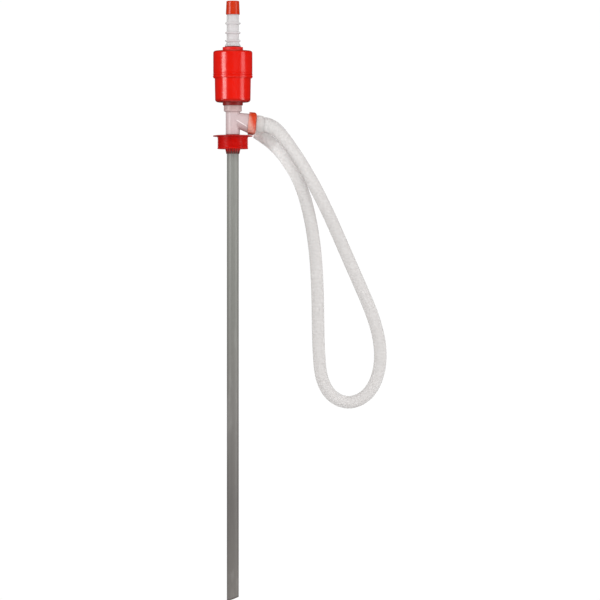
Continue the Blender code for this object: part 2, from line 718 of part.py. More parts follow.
def make_hose_tie(natural):
    """A band round the two runs of hose, made as a stadium outline with a wall."""
    line = hose_line()
    want = Vector(TIE_AT_MM) * MM
    first = min(range(len(line) // 2), key=lambda i: (line[i] - want).length)
    second = min(range(len(line) // 2, len(line)), key=lambda i: (line[i] - line[first]).length)
    out = (line[first + 1] - line[first - 1]).normalized()
    back = (line[second - 1] - line[second + 1]).normalized()
    along = (out + back).normalized()
    across = line[second] - line[first]
    across -= along * across.dot(along)
    spread = across.length
    across.normalize()
    other = along.cross(across)
    middle = line[first] + across * spread / 2
    bm = bmesh.new()
    loops = []
    for side, extra in ((-1, 0), (1, 0), (1, TIE_THICK), (-1, TIE_THICK)):
        radius = HOSE_RADIUS + TIE_CLEARANCE + extra
        loop = []
        for end in (1, -1):
            for k in range(9):
                a = math.radians(-90 + 180 * k / 8)
                wide = end * (spread / 2 + radius * math.cos(a))
                deep = end * radius * math.sin(a)
                place = middle + across * wide + other * deep + along * (side * TIE_WIDTH / 2)
                loop.append(bm.verts.new(place))
        loops.append(loop)
    for a, b in zip(loops, loops[1:] + loops[:1]):
        for k in range(len(a)):
            n = (k + 1) % len(a)
            bm.faces.new((a[k], a[n], b[n], b[k]))
    add_object("hose_tie", bm, natural)


# ---------------------------------------------------------------- cups
def make_lower_cup(red):
    low, high = LOWER_CUP_RADII
    corner = LOWER_CUP_CORNER
    inner_corner = corner - 2.6 * MM
    outline = [
        (NECK_HOLE, LOWER_BOSS_BOTTOM),
        (LOWER_BOSS_RADIUS - 0.6 * MM, LOWER_BOSS_BOTTOM),
        (LOWER_BOSS_RADIUS, LOWER_BOSS_BOTTOM + 0.6 * MM),
        (LOWER_BOSS_RADIUS, LOWER_CUP_BOTTOM),
        *arc((low - corner, LOWER_CUP_BOTTOM + corner), corner, -90, 0, 4),
        (high, LOWER_CUP_SHOULDER_Z - 1.0 * MM),
        (LOWER_CUP_GROOVE_RADIUS, LOWER_CUP_SHOULDER_Z),
        (LOWER_CUP_GROOVE_RADIUS, LOWER_CUP_BEAD_Z),
        (LOWER_CUP_BEAD_RADIUS, LOWER_CUP_BEAD_Z),
        (LOWER_CUP_BEAD_RADIUS, LOWER_CUP_TOP),
        (LOWER_CUP_INSIDE, LOWER_CUP_TOP),
        *arc((LOWER_CUP_INSIDE - inner_corner, LOWER_CUP_FLOOR + inner_corner), inner_corner, 0, -90, 2),
        (NECK_HOLE, LOWER_CUP_FLOOR),
    ]
    return turned("lower_cup", outline, SIDES_LARGE, red)


def make_upper_cup(red):
    corner = UPPER_CUP_CORNER
    outline = [
        (UPPER_CUP_STOP_RADIUS, UPPER_CUP_RIM),
        (UPPER_CUP_BEAD_RADIUS - 0.5 * MM, UPPER_CUP_RIM),
        (UPPER_CUP_BEAD_RADIUS, UPPER_CUP_RIM + 0.5 * MM),
        (UPPER_CUP_BEAD_RADIUS, UPPER_CUP_GROOVE_Z - UPPER_CUP_GROOVE),
        (UPPER_CUP_BEAD_RADIUS - UPPER_CUP_GROOVE, UPPER_CUP_GROOVE_Z),
        (UPPER_CUP_BEAD_RADIUS, UPPER_CUP_GROOVE_Z + UPPER_CUP_GROOVE),
        (UPPER_CUP_BEAD_RADIUS, UPPER_CUP_BEAD_TOP - 0.6 * MM),
        (UPPER_CUP_RADIUS, UPPER_CUP_BEAD_TOP),
        *arc((UPPER_CUP_RADIUS - corner, UPPER_CUP_SHOULDER_Z - corner), corner, 0, 90, 4),
        (UPPER_BOSS_RADIUS, UPPER_BOSS_BOTTOM),
        (UPPER_BOSS_RADIUS, UPPER_BOSS_TOP - 0.7 * MM),
        (UPPER_BOSS_RADIUS - 0.7 * MM, UPPER_BOSS_TOP),
        (STEM_HOLE, UPPER_BOSS_TOP),
        (STEM_HOLE, UPPER_CUP_CEILING),
        *arc((UPPER_CUP_INSIDE - 2.4 * MM, UPPER_CUP_CEILING - 2.4 * MM), 2.4 * MM, 90, 0, 2),
        (UPPER_CUP_INSIDE, UPPER_CUP_STOP_Z + 0.6 * MM),
        (UPPER_CUP_STOP_RADIUS, UPPER_CUP_STOP_Z),
    ]
    return turned("upper_cup", outline, SIDES_LARGE, red)


def make_guide_ring(white):
    return turned(
        "guide_ring",
        ring(
            LOWER_CUP_GROOVE_RADIUS + GAP,
            UPPER_CUP_INSIDE - 0.5 * MM,
            LOWER_CUP_SHOULDER_Z + GAP,
            LOWER_CUP_BEAD_Z - GAP,
        ),
        SIDES_LARGE,
        white,
    )


def make_neck_pieces(rubber, white, steel):
    """The gasket, nut and clamp round the tee's neck, from the cup's floor up."""
    bottom = LOWER_CUP_FLOOR + GAP
    stack("body_gasket", NECK_HOLE, NUT_STACK_RADIUS + 1 * MM, bottom, BODY_GASKET_THICK, rubber)
    bottom += BODY_GASKET_THICK + GAP
    hexagon("body_lock_nut", NECK_HOLE, NUT_STACK_RADIUS, bottom, BODY_NUT_HEIGHT, white)
    collar = NECK_HOLE + BELLOWS_WALL + GAP
    bottom = BELLOWS_FOOT + LOWER_CLAMP_RISE
    stack("bellows_clamp_lower", collar, collar + CLAMP_THICK, bottom, CLAMP_HEIGHT, steel)


# ---------------------------------------------------------------- bellows, stem and cap
def make_bellows(natural):
    lower = NECK_HOLE + BELLOWS_WALL / 2
    upper = STEM_HOLE + BELLOWS_WALL / 2
    line = [(lower, BELLOWS_FOOT), (lower, BELLOWS_LOWER_COLLAR_TOP)]
    pitch = (BELLOWS_UPPER_COLLAR_BOTTOM - BELLOWS_LOWER_COLLAR_TOP) / BELLOWS_FOLDS
    for i in range(BELLOWS_FOLDS):
        start = BELLOWS_LOWER_COLLAR_TOP + i * pitch
        if i:
            line.append((BELLOWS_ROOT_RADIUS, start))
        line.append((BELLOWS_CREST_RADIUS, start + pitch / 2))
    line += [(upper, BELLOWS_UPPER_COLLAR_BOTTOM), (upper, BELLOWS_HEAD)]
    return turned("bellows", ribbon(line, BELLOWS_WALL), SIDES_MEDIUM, natural)


def make_stem(milky):
    outline = [
        (STEM_NECK_BORE, STEM_BOTTOM),
        (STEM_NECK_RADIUS, STEM_BOTTOM),
        (STEM_NECK_RADIUS, STEM_FLARE_Z),
        (STEM_FLARE_RADIUS - 0.5 * MM, STEM_FLARE_Z),
        (STEM_FLARE_RADIUS, STEM_FLARE_Z + 0.6 * MM),
        (STEM_FLARE_RADIUS - 2.6 * MM, STEM_FLARE_Z + 5 * MM),
        (STEM_RADIUS, STEM_FLARE_TOP),
    ]
    for z in STEM_RINGS_Z:
        outline += [
            (STEM_RADIUS, z - STEM_RING_HALF),
            (STEM_RING_RADIUS - 0.6 * MM, z - 0.5 * MM),
            (STEM_RING_RADIUS, z),
            (STEM_RING_RADIUS - 0.6 * MM, z + 0.5 * MM),
            (STEM_RADIUS, z + STEM_RING_HALF),
        ]
    outline += [
        (STEM_RADIUS, STEM_SHOULDER),
        (VENT_NECK_RADIUS, STEM_SHOULDER),
        (VENT_NECK_RADIUS, VENT_NECK_TOP),
        (VENT_NECK_BORE, VENT_NECK_TOP),
        (VENT_NECK_BORE, STEM_SHOULDER - 2 * MM),
        (STEM_BORE, STEM_SHOULDER - 4 * MM),
        (STEM_BORE, STEM_FLARE_TOP + 2 * MM),
        (STEM_NECK_BORE, STEM_FLARE_TOP - 2 * MM),
    ]
    return turned("grip_stem", outline, SIDES_MEDIUM, milky)


def make_stem_fittings(rubber, white, steel):
    bottom, height = UPPER_BOSS_TOP + GAP, STEM_FLARE_Z - UPPER_BOSS_TOP - 2 * GAP
    stack("stem_gasket", STEM_HOLE, STEM_FLARE_RADIUS - 0.6 * MM, bottom, height, rubber)
    nut_bottom = UPPER_CUP_CEILING - GAP - STEM_NUT_HEIGHT
    hexagon("stem_lock_nut", STEM_HOLE, STEM_NUT_HALF, nut_bottom, STEM_NUT_HEIGHT, white)
    collar = STEM_HOLE + BELLOWS_WALL + GAP
    bottom = BELLOWS_HEAD - UPPER_CLAMP_DROP
    stack("bellows_clamp_upper", collar, collar + CLAMP_THICK, bottom, CLAMP_HEIGHT, steel)


def make_vent_cap(red, rubber):
    bottom, top = CAP_RADII
    outline = [
        (CAP_BORE, CAP_BOTTOM),
        (bottom - 0.4 * MM, CAP_BOTTOM),
        (bottom, CAP_BOTTOM + 0.6 * MM),
        *arc((top - CAP_CORNER, CAP_TOP - CAP_CORNER), CAP_CORNER, 0, 90, 4),
        (0, CAP_TOP),
        (0, CAP_CEILING),
        (CAP_BORE, CAP_CEILING),
    ]
    turned("vent_cap", outline, SIDES_MEDIUM, red)
    liner = ring(0, CAP_BORE - 0.4 * MM, VENT_NECK_TOP + GAP, CAP_CEILING - GAP)
    turned("vent_cap_liner", liner, SIDES_SMALL, rubber)


def main():
    clear_scene()
    red = plastic("red plastic", RED, 0.25)
    deep_red = plastic("deep red plastic", DEEP_RED, 0.35)
    orange = plastic("orange-red plastic", ORANGE_RED, 0.3)
    grey = plastic("grey tube", GREY, 0.45)
    milky = plastic("milky plastic", MILKY, 0.35, 0.75)
    natural = plastic("natural plastic", NATURAL, 0.4)
    soft = plastic("soft clear vinyl", MILKY, 0.35, 0.8)
    rubber = plastic("black rubber", RUBBER, 0.6)
    white = plastic("white plastic", WHITE, 0.4)
    steel = plastic("bright clamp", STEEL, 0.3)

    make_bung_adapter(deep_red)
    make_tube_seal_ring(rubber)
    make_suction_tube(grey)
    axis = outlet_axis()
    make_tee_body(milky)
    make_suction_valve(white, rubber, natural)
    make_outlet_valve(white, rubber, steel, axis)
    make_outlet_fittings(orange, white, soft, axis)
    make_hose(soft)
    make_hose_tie(natural)
    make_lower_cup(red)
    make_upper_cup(red)
    make_guide_ring(white)
    make_neck_pieces(rubber, white, steel)
    make_bellows(natural)
    make_stem(milky)
    make_stem_fittings(rubber, white, steel)
    make_vent_cap(red, rubber)


main()
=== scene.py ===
"""Looks of the hand siphon pump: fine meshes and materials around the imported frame.

Metres, +Z up, in the frame of the CAD model: the pump's axis is Z, the drum's face is at z = 0,
and the spout and the hose are on the +X side. Outlines are corners in millimetres, each one
(radius, height) or (radius, height, fillet), and filleted() turns them into metres.
"""
import math

import bmesh
import bpy
import numpy as np
from mathutils import Matrix, Vector


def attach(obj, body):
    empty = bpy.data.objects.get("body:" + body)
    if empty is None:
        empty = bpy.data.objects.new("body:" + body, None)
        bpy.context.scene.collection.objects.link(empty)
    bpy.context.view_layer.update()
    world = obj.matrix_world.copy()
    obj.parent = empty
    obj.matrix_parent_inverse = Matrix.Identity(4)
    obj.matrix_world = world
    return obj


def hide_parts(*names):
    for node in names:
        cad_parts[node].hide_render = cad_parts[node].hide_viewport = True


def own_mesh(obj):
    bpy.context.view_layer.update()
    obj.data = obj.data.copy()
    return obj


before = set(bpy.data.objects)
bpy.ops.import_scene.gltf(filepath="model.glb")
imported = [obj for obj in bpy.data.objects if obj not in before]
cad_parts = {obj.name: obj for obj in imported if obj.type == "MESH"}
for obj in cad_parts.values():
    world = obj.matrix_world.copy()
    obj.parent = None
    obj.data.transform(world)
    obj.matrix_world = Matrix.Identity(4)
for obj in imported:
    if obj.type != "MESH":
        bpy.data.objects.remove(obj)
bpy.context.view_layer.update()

MM = 0.001
ROUND = 96  # sides of a large round piece
SMOOTH_ANGLE = math.radians(32)

# the outlet axis crosses the pump's axis here and falls by this angle; distances along it are u
OUTLET_Z = 28.66 * MM
OUTLET_TILT = math.radians(5)

# ---------------------------------------------------------------- sizes that pieces share, in mm
TUBE_RADIUS = 11.65
TUBE_BORE = 9.5
TUBE_FOOT = -906.2  # on the axis, where the slanting cut crosses it
TUBE_TOP = 12.3
TUBE_SLANT = 0.378  # rise of the cut for each step toward +X

SPOUT_ROOT = (6.0, 0, 32.5)  # middle of the oval that the spout grows from, inside the tee
SPOUT_ROOT_HALF_HEIGHT, SPOUT_ROOT_HALF_WIDTH = 15.2, 12.5
SPOUT_RADIUS = 19.0  # of the circle that it grows to
SPOUT_FLARE_U = 30.2  # where the flare ends
SPOUT_LEDGE_U = 28.6  # where the flare's inside ends, at the valve seat's ledge
SPOUT_TIP_U = 41.0
SPOUT_WALL = 2.2

CUFF_START_U, CUFF_END_U = 46.5, 61.5

FOLDS_FOOT, FOLDS_TOP = 86.2, 157.6  # the part of the bellows that closes up

# ---------------------------------------------------------------- the hose's facts
HOSE_DIAMETER = 25.4 * MM
HOSE_LENGTH = 1.24
HOSE_START_U, HOSE_BEND_U = 55.8, 60.5  # mm: the hose is straight between them, in the cuff
HOSE_PITCH = 5.4 * MM  # from one ridge to the next
HOSE_RIDGE = 0.36 * MM  # from ridge to groove
HOSE_WALL = 2.2 * MM
HOSE_SLACK = 0.25 * MM  # keeps the fine hose inside the plain one
HOSE_SIDES = 40
HOSE_ROWS_PER_RIDGE = 6
HOSE_START_LIP = 7 * MM  # how far the wall's inside is modelled, from the covered end
HOSE_END_LIP = 45 * MM  # and from the free end, which can be looked into
HOSE_BELL_START = 5.73 * MM  # along the hose, just past the cuff's mouth
HOSE_BELL_LENGTH = 58 * MM
HOSE_BELL_RISE = 2.9 * MM
HOSE_ROUTE_MM = (  # x, y, z, from just past the cuff to the free end
    (74.6, 0, 19.4),
    (87.2, 0, 11.3),
    (94.1, 0, 4.3),
    (105.4, 0, -9.4),
    (114.5, 0, -22.3),
    (130.4, 0, -46.0),
    (145.2, 0, -70.4),
    (160.0, 0, -96.6),
    (176.4, 0, -128.6),
    (194.4, 0, -166.6),
    (213.8, 0, -210.6),
    (234.4, 0, -257.6),
    (255.4, 0, -305.6),
    (273.6, 0, -350.6),
    (285.6, 0, -393.6),
    (289.0, 0, -434.6),
    (281.6, 0, -474.6),
    (259.6, 0, -508.0),
    (226.4, 0, -520.6),
    (194.4, 0, -507.6),
    (175.4, 0, -474.6),
    (169.4, 0, -432.6),
    (167.6, 0, -390.6),
    (166.8, 0, -341.6),
    (165.4, 1.0, -288.6),
    (162.2, 3.4, -236.6),
    (156.4, 7.0, -188.6),
    (147.8, 11.6, -144.6),
    (138.0, 15.4, -109.6),
    (127.0, 18.2, -81.6),
    (114.4, 19.6, -59.0),
    (100.4, 21.0, -38.6),
    (84.8, 23.4, -20.6),
    (67.0, 26.8, -5.2),
    (46.4, 30.0, 9.0),
)

TIE_AT_MM = (102.0, 0, -5.2)  # on the first run of the hose
TIE_LINE_STEPS = 71  # the tie is placed on a coarser line than the hose's mesh

# ---------------------------------------------------------------- camera, lights, floor
CAMERA_LENS = 250.0
SENSOR = 36.0
VIEW_WIDTH = 1.176  # what the picture holds across, at the pump
VIEW_CENTRE = Vector((0.1317, 0, -0.3203))

BACKDROP_LIGHT = 1.02  # the surroundings as the camera sees them
ROOM_LIGHT = 0.30  # as they light matt surfaces
ROOM_SHINE = 0.05  # as glossy surfaces reflect them

LIGHTS = (
    # name, azimuth (0 is the camera's side, positive is to its left), height, distance from the
    # pump's axis, size, watts, the point it faces, whether reflections show it
    ("key_strip", 54, 0.22, 2.2, (0.9, 0.9), 21, (0, 0, 0.1), True),
    ("fill_strip", -63, 0.22, 2.2, (0.9, 0.9), 7, (0, 0, 0.1), True),
    ("tube_key", 70, -0.5, 1.9, (0.6, 0.9), 3, (0, 0, -0.5), True),
    ("tube_fill", -70, -0.5, 1.9, (0.6, 0.9), 10, (0.1, 0, -0.5), True),
    ("front_fill", -18, 0.1, 4.0, (2.4, 2.4), 37, (0.1, 0, -0.3), False),
    ("top_fill", -14, 3.0, 3.2, (2.0, 2.0), 68, (0.1, 0, -0.1), False),
    ("back_fill", 180, 0.6, 3.0, (2.0, 2.0), 48, (0.1, 0, -0.2), False),
)

FLOOR_CENTRE = (0.1, 0, -1.0)
FLOOR_RADIUS = 1.25
FLOOR_SOLID, FLOOR_CLEAR = 0.45, FLOOR_RADIUS - 0.02  # distances that it thins out between


def make_camera():
    data = bpy.data.cameras.new("camera")
    data.lens = CAMERA_LENS
    data.sensor_width = SENSOR
    camera = bpy.data.objects.new("camera", data)
    bpy.context.scene.collection.objects.link(camera)
    camera.location = VIEW_CENTRE - Vector((0, VIEW_WIDTH * CAMERA_LENS / SENSOR, 0))
    camera.rotation_euler = (math.pi / 2, 0, 0)
    bpy.context.scene.camera = camera


def make_surroundings():
    """A white world to the camera, dimmer as a light, and darker still in reflections."""
    world = bpy.data.worlds.new("studio")
    bpy.context.scene.world = world
    world.use_nodes = True
    nodes, links = world.node_tree.nodes, world.node_tree.links
    nodes.clear()
    path = nodes.new("ShaderNodeLightPath")

    def background(strength):
        node = nodes.new("ShaderNodeBackground")
        node.inputs["Color"].default_value = (1, 1, 1, 1)
        node.inputs["Strength"].default_value = strength
        return node

    def choose(question, no, yes):
        node = nodes.new("ShaderNodeMixShader")
        links.new(path.outputs[question], node.inputs[0])
        links.new(no.outputs[0], node.inputs[1])
        links.new(yes.outputs[0], node.inputs[2])
        return node

    room = choose("Is Glossy Ray", background(ROOM_LIGHT), background(ROOM_SHINE))
    whole = choose("Is Camera Ray", room, background(BACKDROP_LIGHT))
    out = nodes.new("ShaderNodeOutputWorld")
    links.new(whole.outputs[0], out.inputs[0])


def make_light(name, azimuth, height, distance, size, watts, aim, in_reflections):
    """A rectangular softbox."""
    data = bpy.data.lights.new(name, "AREA")
    data.shape = "RECTANGLE"
    data.size, data.size_y = size
    data.energy = watts
    light = bpy.data.objects.new(name, data)
    bpy.context.scene.collection.objects.link(light)
    a = math.radians(azimuth)
    light.location = (-distance * math.sin(a), -distance * math.cos(a), height)
    light.rotation_euler = (Vector(aim) - light.location).to_track_quat("-Z", "Y").to_euler()
    light.visible_camera = False
    light.visible_glossy = in_reflections


def make_floor():
    bm = bmesh.new()
    bmesh.ops.create_circle(bm, cap_ends=True, segments=ROUND, radius=FLOOR_RADIUS)
    floor = add_mesh("floor", bm)
    floor.location = FLOOR_CENTRE
    floor.data.materials.append(pale_floor())


def make_studio():
    make_surroundings()
    bpy.context.scene.view_settings.view_transform = "Standard"
    for light in LIGHTS:
        make_light(*light)
    make_floor()


# ---------------------------------------------------------------- material nodes
class Nodes:
    """A material's node tree, with a short way to add and join nodes."""

    def __init__(self, name, material=None):
        self.material = material or bpy.data.materials.new(name)
        self.material.use_nodes = True
        self.tree = self.material.node_tree
        self.shader = self.tree.nodes["Principled BSDF"]
        self.place = self.add("ShaderNodeTexCoord").outputs["Object"]

    def add(self, kind, **settings):
        node = self.tree.nodes.new(kind)
        for key, value in settings.items():
            setattr(node, key, value)
        return node

    def join(self, a, b):
        self.tree.links.new(a, b)

    def set(self, **values):
        """Sets inputs of the shader, with _ for each space in a name."""
        for key, value in values.items():
            self.shader.inputs[key.replace("_", " ")].default_value = value

    def current(self, name):
        """What is joined to an input of the shader now."""
        return self.shader.inputs[name].links[0].from_socket

    def noise(self, scale, detail=3.0, stretch=(1, 1, 1)):
        """A noise value over the surface; stretch is how much finer it is along each axis."""
        mapping = self.add("ShaderNodeMapping")
        mapping.inputs["Scale"].default_value = stretch
        self.join(self.place, mapping.inputs["Vector"])
        node = self.add("ShaderNodeTexNoise")
        node.inputs["Scale"].default_value = scale
        node.inputs["Detail"].default_value = detail
        self.join(mapping.outputs[0], node.inputs["Vector"])
        return node.outputs["Fac"]

    def ranged(self, value, low, high, start=0.3, end=0.7):
        """Takes a value's run from start to end, and makes it run from low to high."""
        node = self.add("ShaderNodeMapRange")
        node.inputs["From Min"].default_value = start
        node.inputs["From Max"].default_value = end
        node.inputs["To Min"].default_value = low
        node.inputs["To Max"].default_value = high
        self.join(value, node.inputs["Value"])
        return node.outputs["Result"]

    def combined(self, operation, a, b):
        """Two values put together by a maths operation."""
        node = self.add("ShaderNodeMath", operation=operation)
        self.join(a, node.inputs[0])
        self.join(b, node.inputs[1])
        return node.outputs[0]

    def both(self, a, b):
        """1 only where both masks are 1."""
        return self.combined("MULTIPLY", a, b)

    def blend(self, factor, a, b):
        """A colour between a and b, each a colour or an output."""
        node = self.add("ShaderNodeMix", data_type="RGBA")
        self.join(factor, node.inputs["Factor"])
        for socket, value in (("A", a), ("B", b)):
            target = next(s for s in node.inputs if s.name == socket and s.type == "RGBA")
            if isinstance(value, tuple):
                target.default_value = (*value, 1)
            else:
                self.join(value, target)
        return next(s for s in node.outputs if s.type == "RGBA")

    def along(self, axis, start, end):
        """0 to 1 along one of the row frame's axes."""
        parts = self.add("ShaderNodeSeparateXYZ")
        self.join(self.place, parts.inputs[0])
        return self.ranged(parts.outputs[axis], 0, 1, start, end)

    def toward(self, direction, start, end):
        """0 to 1 along any direction of the row frame."""
        node = self.add("ShaderNodeVectorMath", operation="DOT_PRODUCT")
        node.inputs[1].default_value = direction
        self.join(self.place, node.inputs[0])
        return self.ranged(node.outputs["Value"], 0, 1, start, end)

    def distance(self, place):
        """How far a place is from the origin."""
        node = self.add("ShaderNodeVectorMath", operation="LENGTH")
        self.join(place, node.inputs[0])
        return node.outputs["Value"]

    def from_axis(self, start, end):
        """0 to 1 with the distance from the pump's axis."""
        flat = self.add("ShaderNodeMapping")
        flat.inputs["Scale"].default_value = (1, 1, 0)
        self.join(self.place, flat.inputs["Vector"])
        return self.ranged(self.distance(flat.outputs[0]), 0, 1, start, end)

    def bump(self, value, height, after=None):
        """A normal for relief of this height, on top of another bump where one is given."""
        node = self.add("ShaderNodeBump")
        node.inputs["Strength"].default_value = 1.0
        node.inputs["Distance"].default_value = height
        self.join(value, node.inputs["Height"])
        if after:
            self.join(after, node.inputs["Normal"])
        return node.outputs[0]

    def finish(self, colour, roughness=None, normal=None):
        """Joins the outputs to the shader and gives back the material."""
        self.join(colour, self.shader.inputs["Base Color"])
        if roughness:
            self.join(roughness, self.shader.inputs["Roughness"])
        if normal:
            self.join(normal, self.shader.inputs["Normal"])
        return self.material


def shade(colour, factor):
    """A colour made darker or lighter."""
    return tuple(min(1.0, c * factor) for c in colour)


# ---------------------------------------------------------------- masks, 1 at the place they name
def collet_shade(n):
    """Painted shade on the adapter's collet, below its thread and under the skirt."""
    return n.along("Z", -25 * MM, -31 * MM)


def on_flange(n):
    """The adapter's flange and hub, above the drum's face."""
    return n.along("Z", -0.5 * MM, 1.0 * MM)


def at_cut(n):
    """A darker band at the tube's slanting cut."""
    return n.toward((-TUBE_SLANT, 0, 1), -902.5 * MM, -905.5 * MM)


def cup_glow_on_collar(n):
    """The tee's collar and neck, painted redder and darker for the red cup's light that shows through."""
    return n.along("Z", 44 * MM, 54 * MM)


def on_boss(n):
    """The narrow bosses at the cups' ends, close to the axis."""
    return n.from_axis(22 * MM, 20.5 * MM)


def cup_foot_shade(n):
    """Painted shade on the lower cup's rounded foot and its boss, under the cup."""
    return n.along("Z", 75 * MM, 66 * MM)


def shoulder_shade(n):
    """Painted shade on the upper cup's rounded shoulder, which is high up and away from the axis."""
    return n.both(n.along("Z", 164.5 * MM, 168.0 * MM), n.from_axis(27 * MM, 34 * MM))


def free_end_painted_light(n):
    """Painted light on the hose's free end, which lies behind the first run, in its shade."""
    return n.both(n.along("Y", 5 * MM, 13 * MM), n.along("Z", -170 * MM, -35 * MM))


def overlaid(material, other, mask):
    """Turns a material's colour to another one where the mask comes near 1."""
    n = Nodes(material.name, material)
    n.finish(n.blend(mask(n), n.current("Base Color"), other))
    return material


def duller(material, roughness, mask):
    """Makes a material rougher where the mask comes near 1."""
    n = Nodes(material.name, material)
    mix = n.add("ShaderNodeMix")
    n.join(mask(n), mix.inputs["Factor"])
    n.join(n.current("Roughness"), mix.inputs["A"])
    mix.inputs["B"].default_value = roughness
    n.join(mix.outputs["Result"], n.shader.inputs["Roughness"])
    return material


# ---------------------------------------------------------------- materials
def pale_floor():
    """Matt white that thins out towards the floor's rim."""
    n = Nodes("pale floor")
    n.set(Roughness=0.85)
    tone = n.blend(n.ranged(n.noise(3.0), 0, 1), (0.93, 0.93, 0.93), (0.95, 0.95, 0.95))
    fade = n.ranged(n.distance(n.place), 1, 0, FLOOR_SOLID, FLOOR_CLEAR)
    n.join(fade, n.shader.inputs["Alpha"])
    return n.finish(tone)


def moulded(name, colour, roughness, *, mottle=0.05, grain=0.02 * MM, alpha=1.0, soft=0.0, level=0.5):
    """Moulded plastic: faint flow marks in its colour, uneven gloss and a fine skin."""
    n = Nodes(name)
    flow = n.noise(38.0, detail=4.0, stretch=(1, 1, 0.45))
    tone = n.blend(n.ranged(flow, 0, 1), shade(colour, 1 - mottle), shade(colour, 1 + mottle))
    gloss = n.ranged(n.noise(120.0, detail=2.0), roughness - 0.05, roughness + 0.05)
    fine = n.bump(n.noise(900.0, detail=2.0), grain)
    wave = n.bump(n.noise(90.0, detail=1.0), 3 * grain, after=fine)
    n.set(Alpha=alpha, IOR=1.49, Specular_IOR_Level=level)
    if soft:
        radius = tuple(0.2 + c for c in colour)
        n.set(Subsurface_Weight=soft, Subsurface_Scale=0.012, Subsurface_Radius=radius)
    return n.finish(tone, gloss, wave)


def extruded_grey():
    """Extruded PVC: lengthwise die lines, a few scuffs, and a tone that changes down its length."""
    tones = (  # height in metres, colour there
        (-0.03, (0.275, 0.278, 0.256)),
        (-0.33, (0.215, 0.214, 0.196)),
        (-0.52, (0.200, 0.190, 0.178)),
        (-0.72, (0.142, 0.132, 0.124)),
        (-0.90, (0.160, 0.146, 0.134)),
    )
    n = Nodes("grey pvc")
    tone = tones[0][1]
    for (high, _), (low, deeper) in zip(tones, tones[1:]):
        tone = n.blend(n.along("Z", high, low), tone, deeper)
    lines = n.noise(340.0, stretch=(1, 1, 0.012))
    lined = n.blend(n.ranged(lines, 0, 0.13), tone, (0.05, 0.05, 0.05))
    scuffs = n.noise(60.0, detail=6.0, stretch=(1, 1, 0.25))
    worn = n.blend(n.ranged(scuffs, 0, 0.14, start=0.56, end=0.75), lined, (0.62, 0.62, 0.6))
    gloss = n.ranged(scuffs, 0.38, 0.52)
    n.set(IOR=1.5)
    ridges = n.bump(lines, 0.04 * MM)
    return n.finish(worn, gloss, n.bump(n.noise(700.0), 0.012 * MM, after=ridges))


def nut_plastic():
    """Orange-red: painted pale where the thin skirt lets light through, strong at the rim, painted deep
    shade below.
    """
    pale, strong, deep = (0.76, 0.36, 0.29), (0.66, 0.055, 0.014), (0.42, 0.045, 0.02)
    n = Nodes("orange red")
    rim = n.toward((1, 0, 0.30), 41.5 * MM, 51.0 * MM)
    # painted shade along the nut's foot, against the flange
    shade_below = n.along("Z", 9.5 * MM, 4.5 * MM)
    # painted light: pale where light would come through the thin skirt
    uneven = n.blend(n.ranged(n.noise(70.0), 0, 0.2), pale, strong)
    edge = n.ranged(n.combined("ADD", rim, n.noise(90.0, detail=2.0)), 0, 1, start=0.5, end=1.5)
    tone = n.blend(shade_below, n.blend(edge, uneven, strong), deep)
    gloss = n.ranged(n.noise(140.0), 0.24, 0.36)
    n.set(Subsurface_Weight=0.12, Subsurface_Scale=0.004, IOR=1.49)
    n.set(Subsurface_Radius=(1.0, 0.35, 0.2))
    return n.finish(tone, gloss, n.bump(n.noise(500.0), 0.02 * MM))


def steel():
    """Bright steel with fine level brush marks."""
    n = Nodes("bright steel")
    brushed = n.noise(700.0, detail=2.0, stretch=(0.06, 0.06, 1))
    tone = n.blend(n.ranged(brushed, 0, 1), (0.5, 0.5, 0.5), (0.7, 0.7, 0.69))
    n.set(Metallic=1.0)
    return n.finish(tone, n.ranged(brushed, 0.22, 0.38), n.bump(brushed, 0.01 * MM))


def adapter_red():
    """Deep red, with a darker flange, and painted shade that turns the collet dark and brownish."""
    material = moulded("deep red", (0.60, 0.004, 0.001), 0.36, mottle=0.08, level=0.3)
    # painted shade: the collet lies under the threaded skirt
    overlaid(material, (0.16, 0.035, 0.03), collet_shade)
    return overlaid(material, (0.38, 0.012, 0.008), on_flange)


def cup_red(name, other, mask):
    """The cups' glossy red, less glossy on their bosses, with painted shade of another colour at the
    mask.
    """
    material = duller(moulded(name, (0.735, 0.0075, 0.0015), 0.2), 0.5, on_boss)
    return overlaid(material, other, mask)


def milky_body():
    """The tee's milky plastic, with painted red light from the cup where it goes into it."""
    material = moulded("milky body", (0.72, 0.58, 0.585), 0.36, mottle=0.03, alpha=0.84)
    # painted red light from the cup, on the tee's collar
    return overlaid(material, (0.63, 0.44, 0.42), cup_glow_on_collar)


def vinyl(name, colour, roughness, alpha, level=0.5):
    """Soft clear vinyl: an almost smooth skin that light goes into."""
    return moulded(
        name, colour, roughness, mottle=0.02, grain=0.003 * MM, alpha=alpha, soft=0.4, level=level
    )


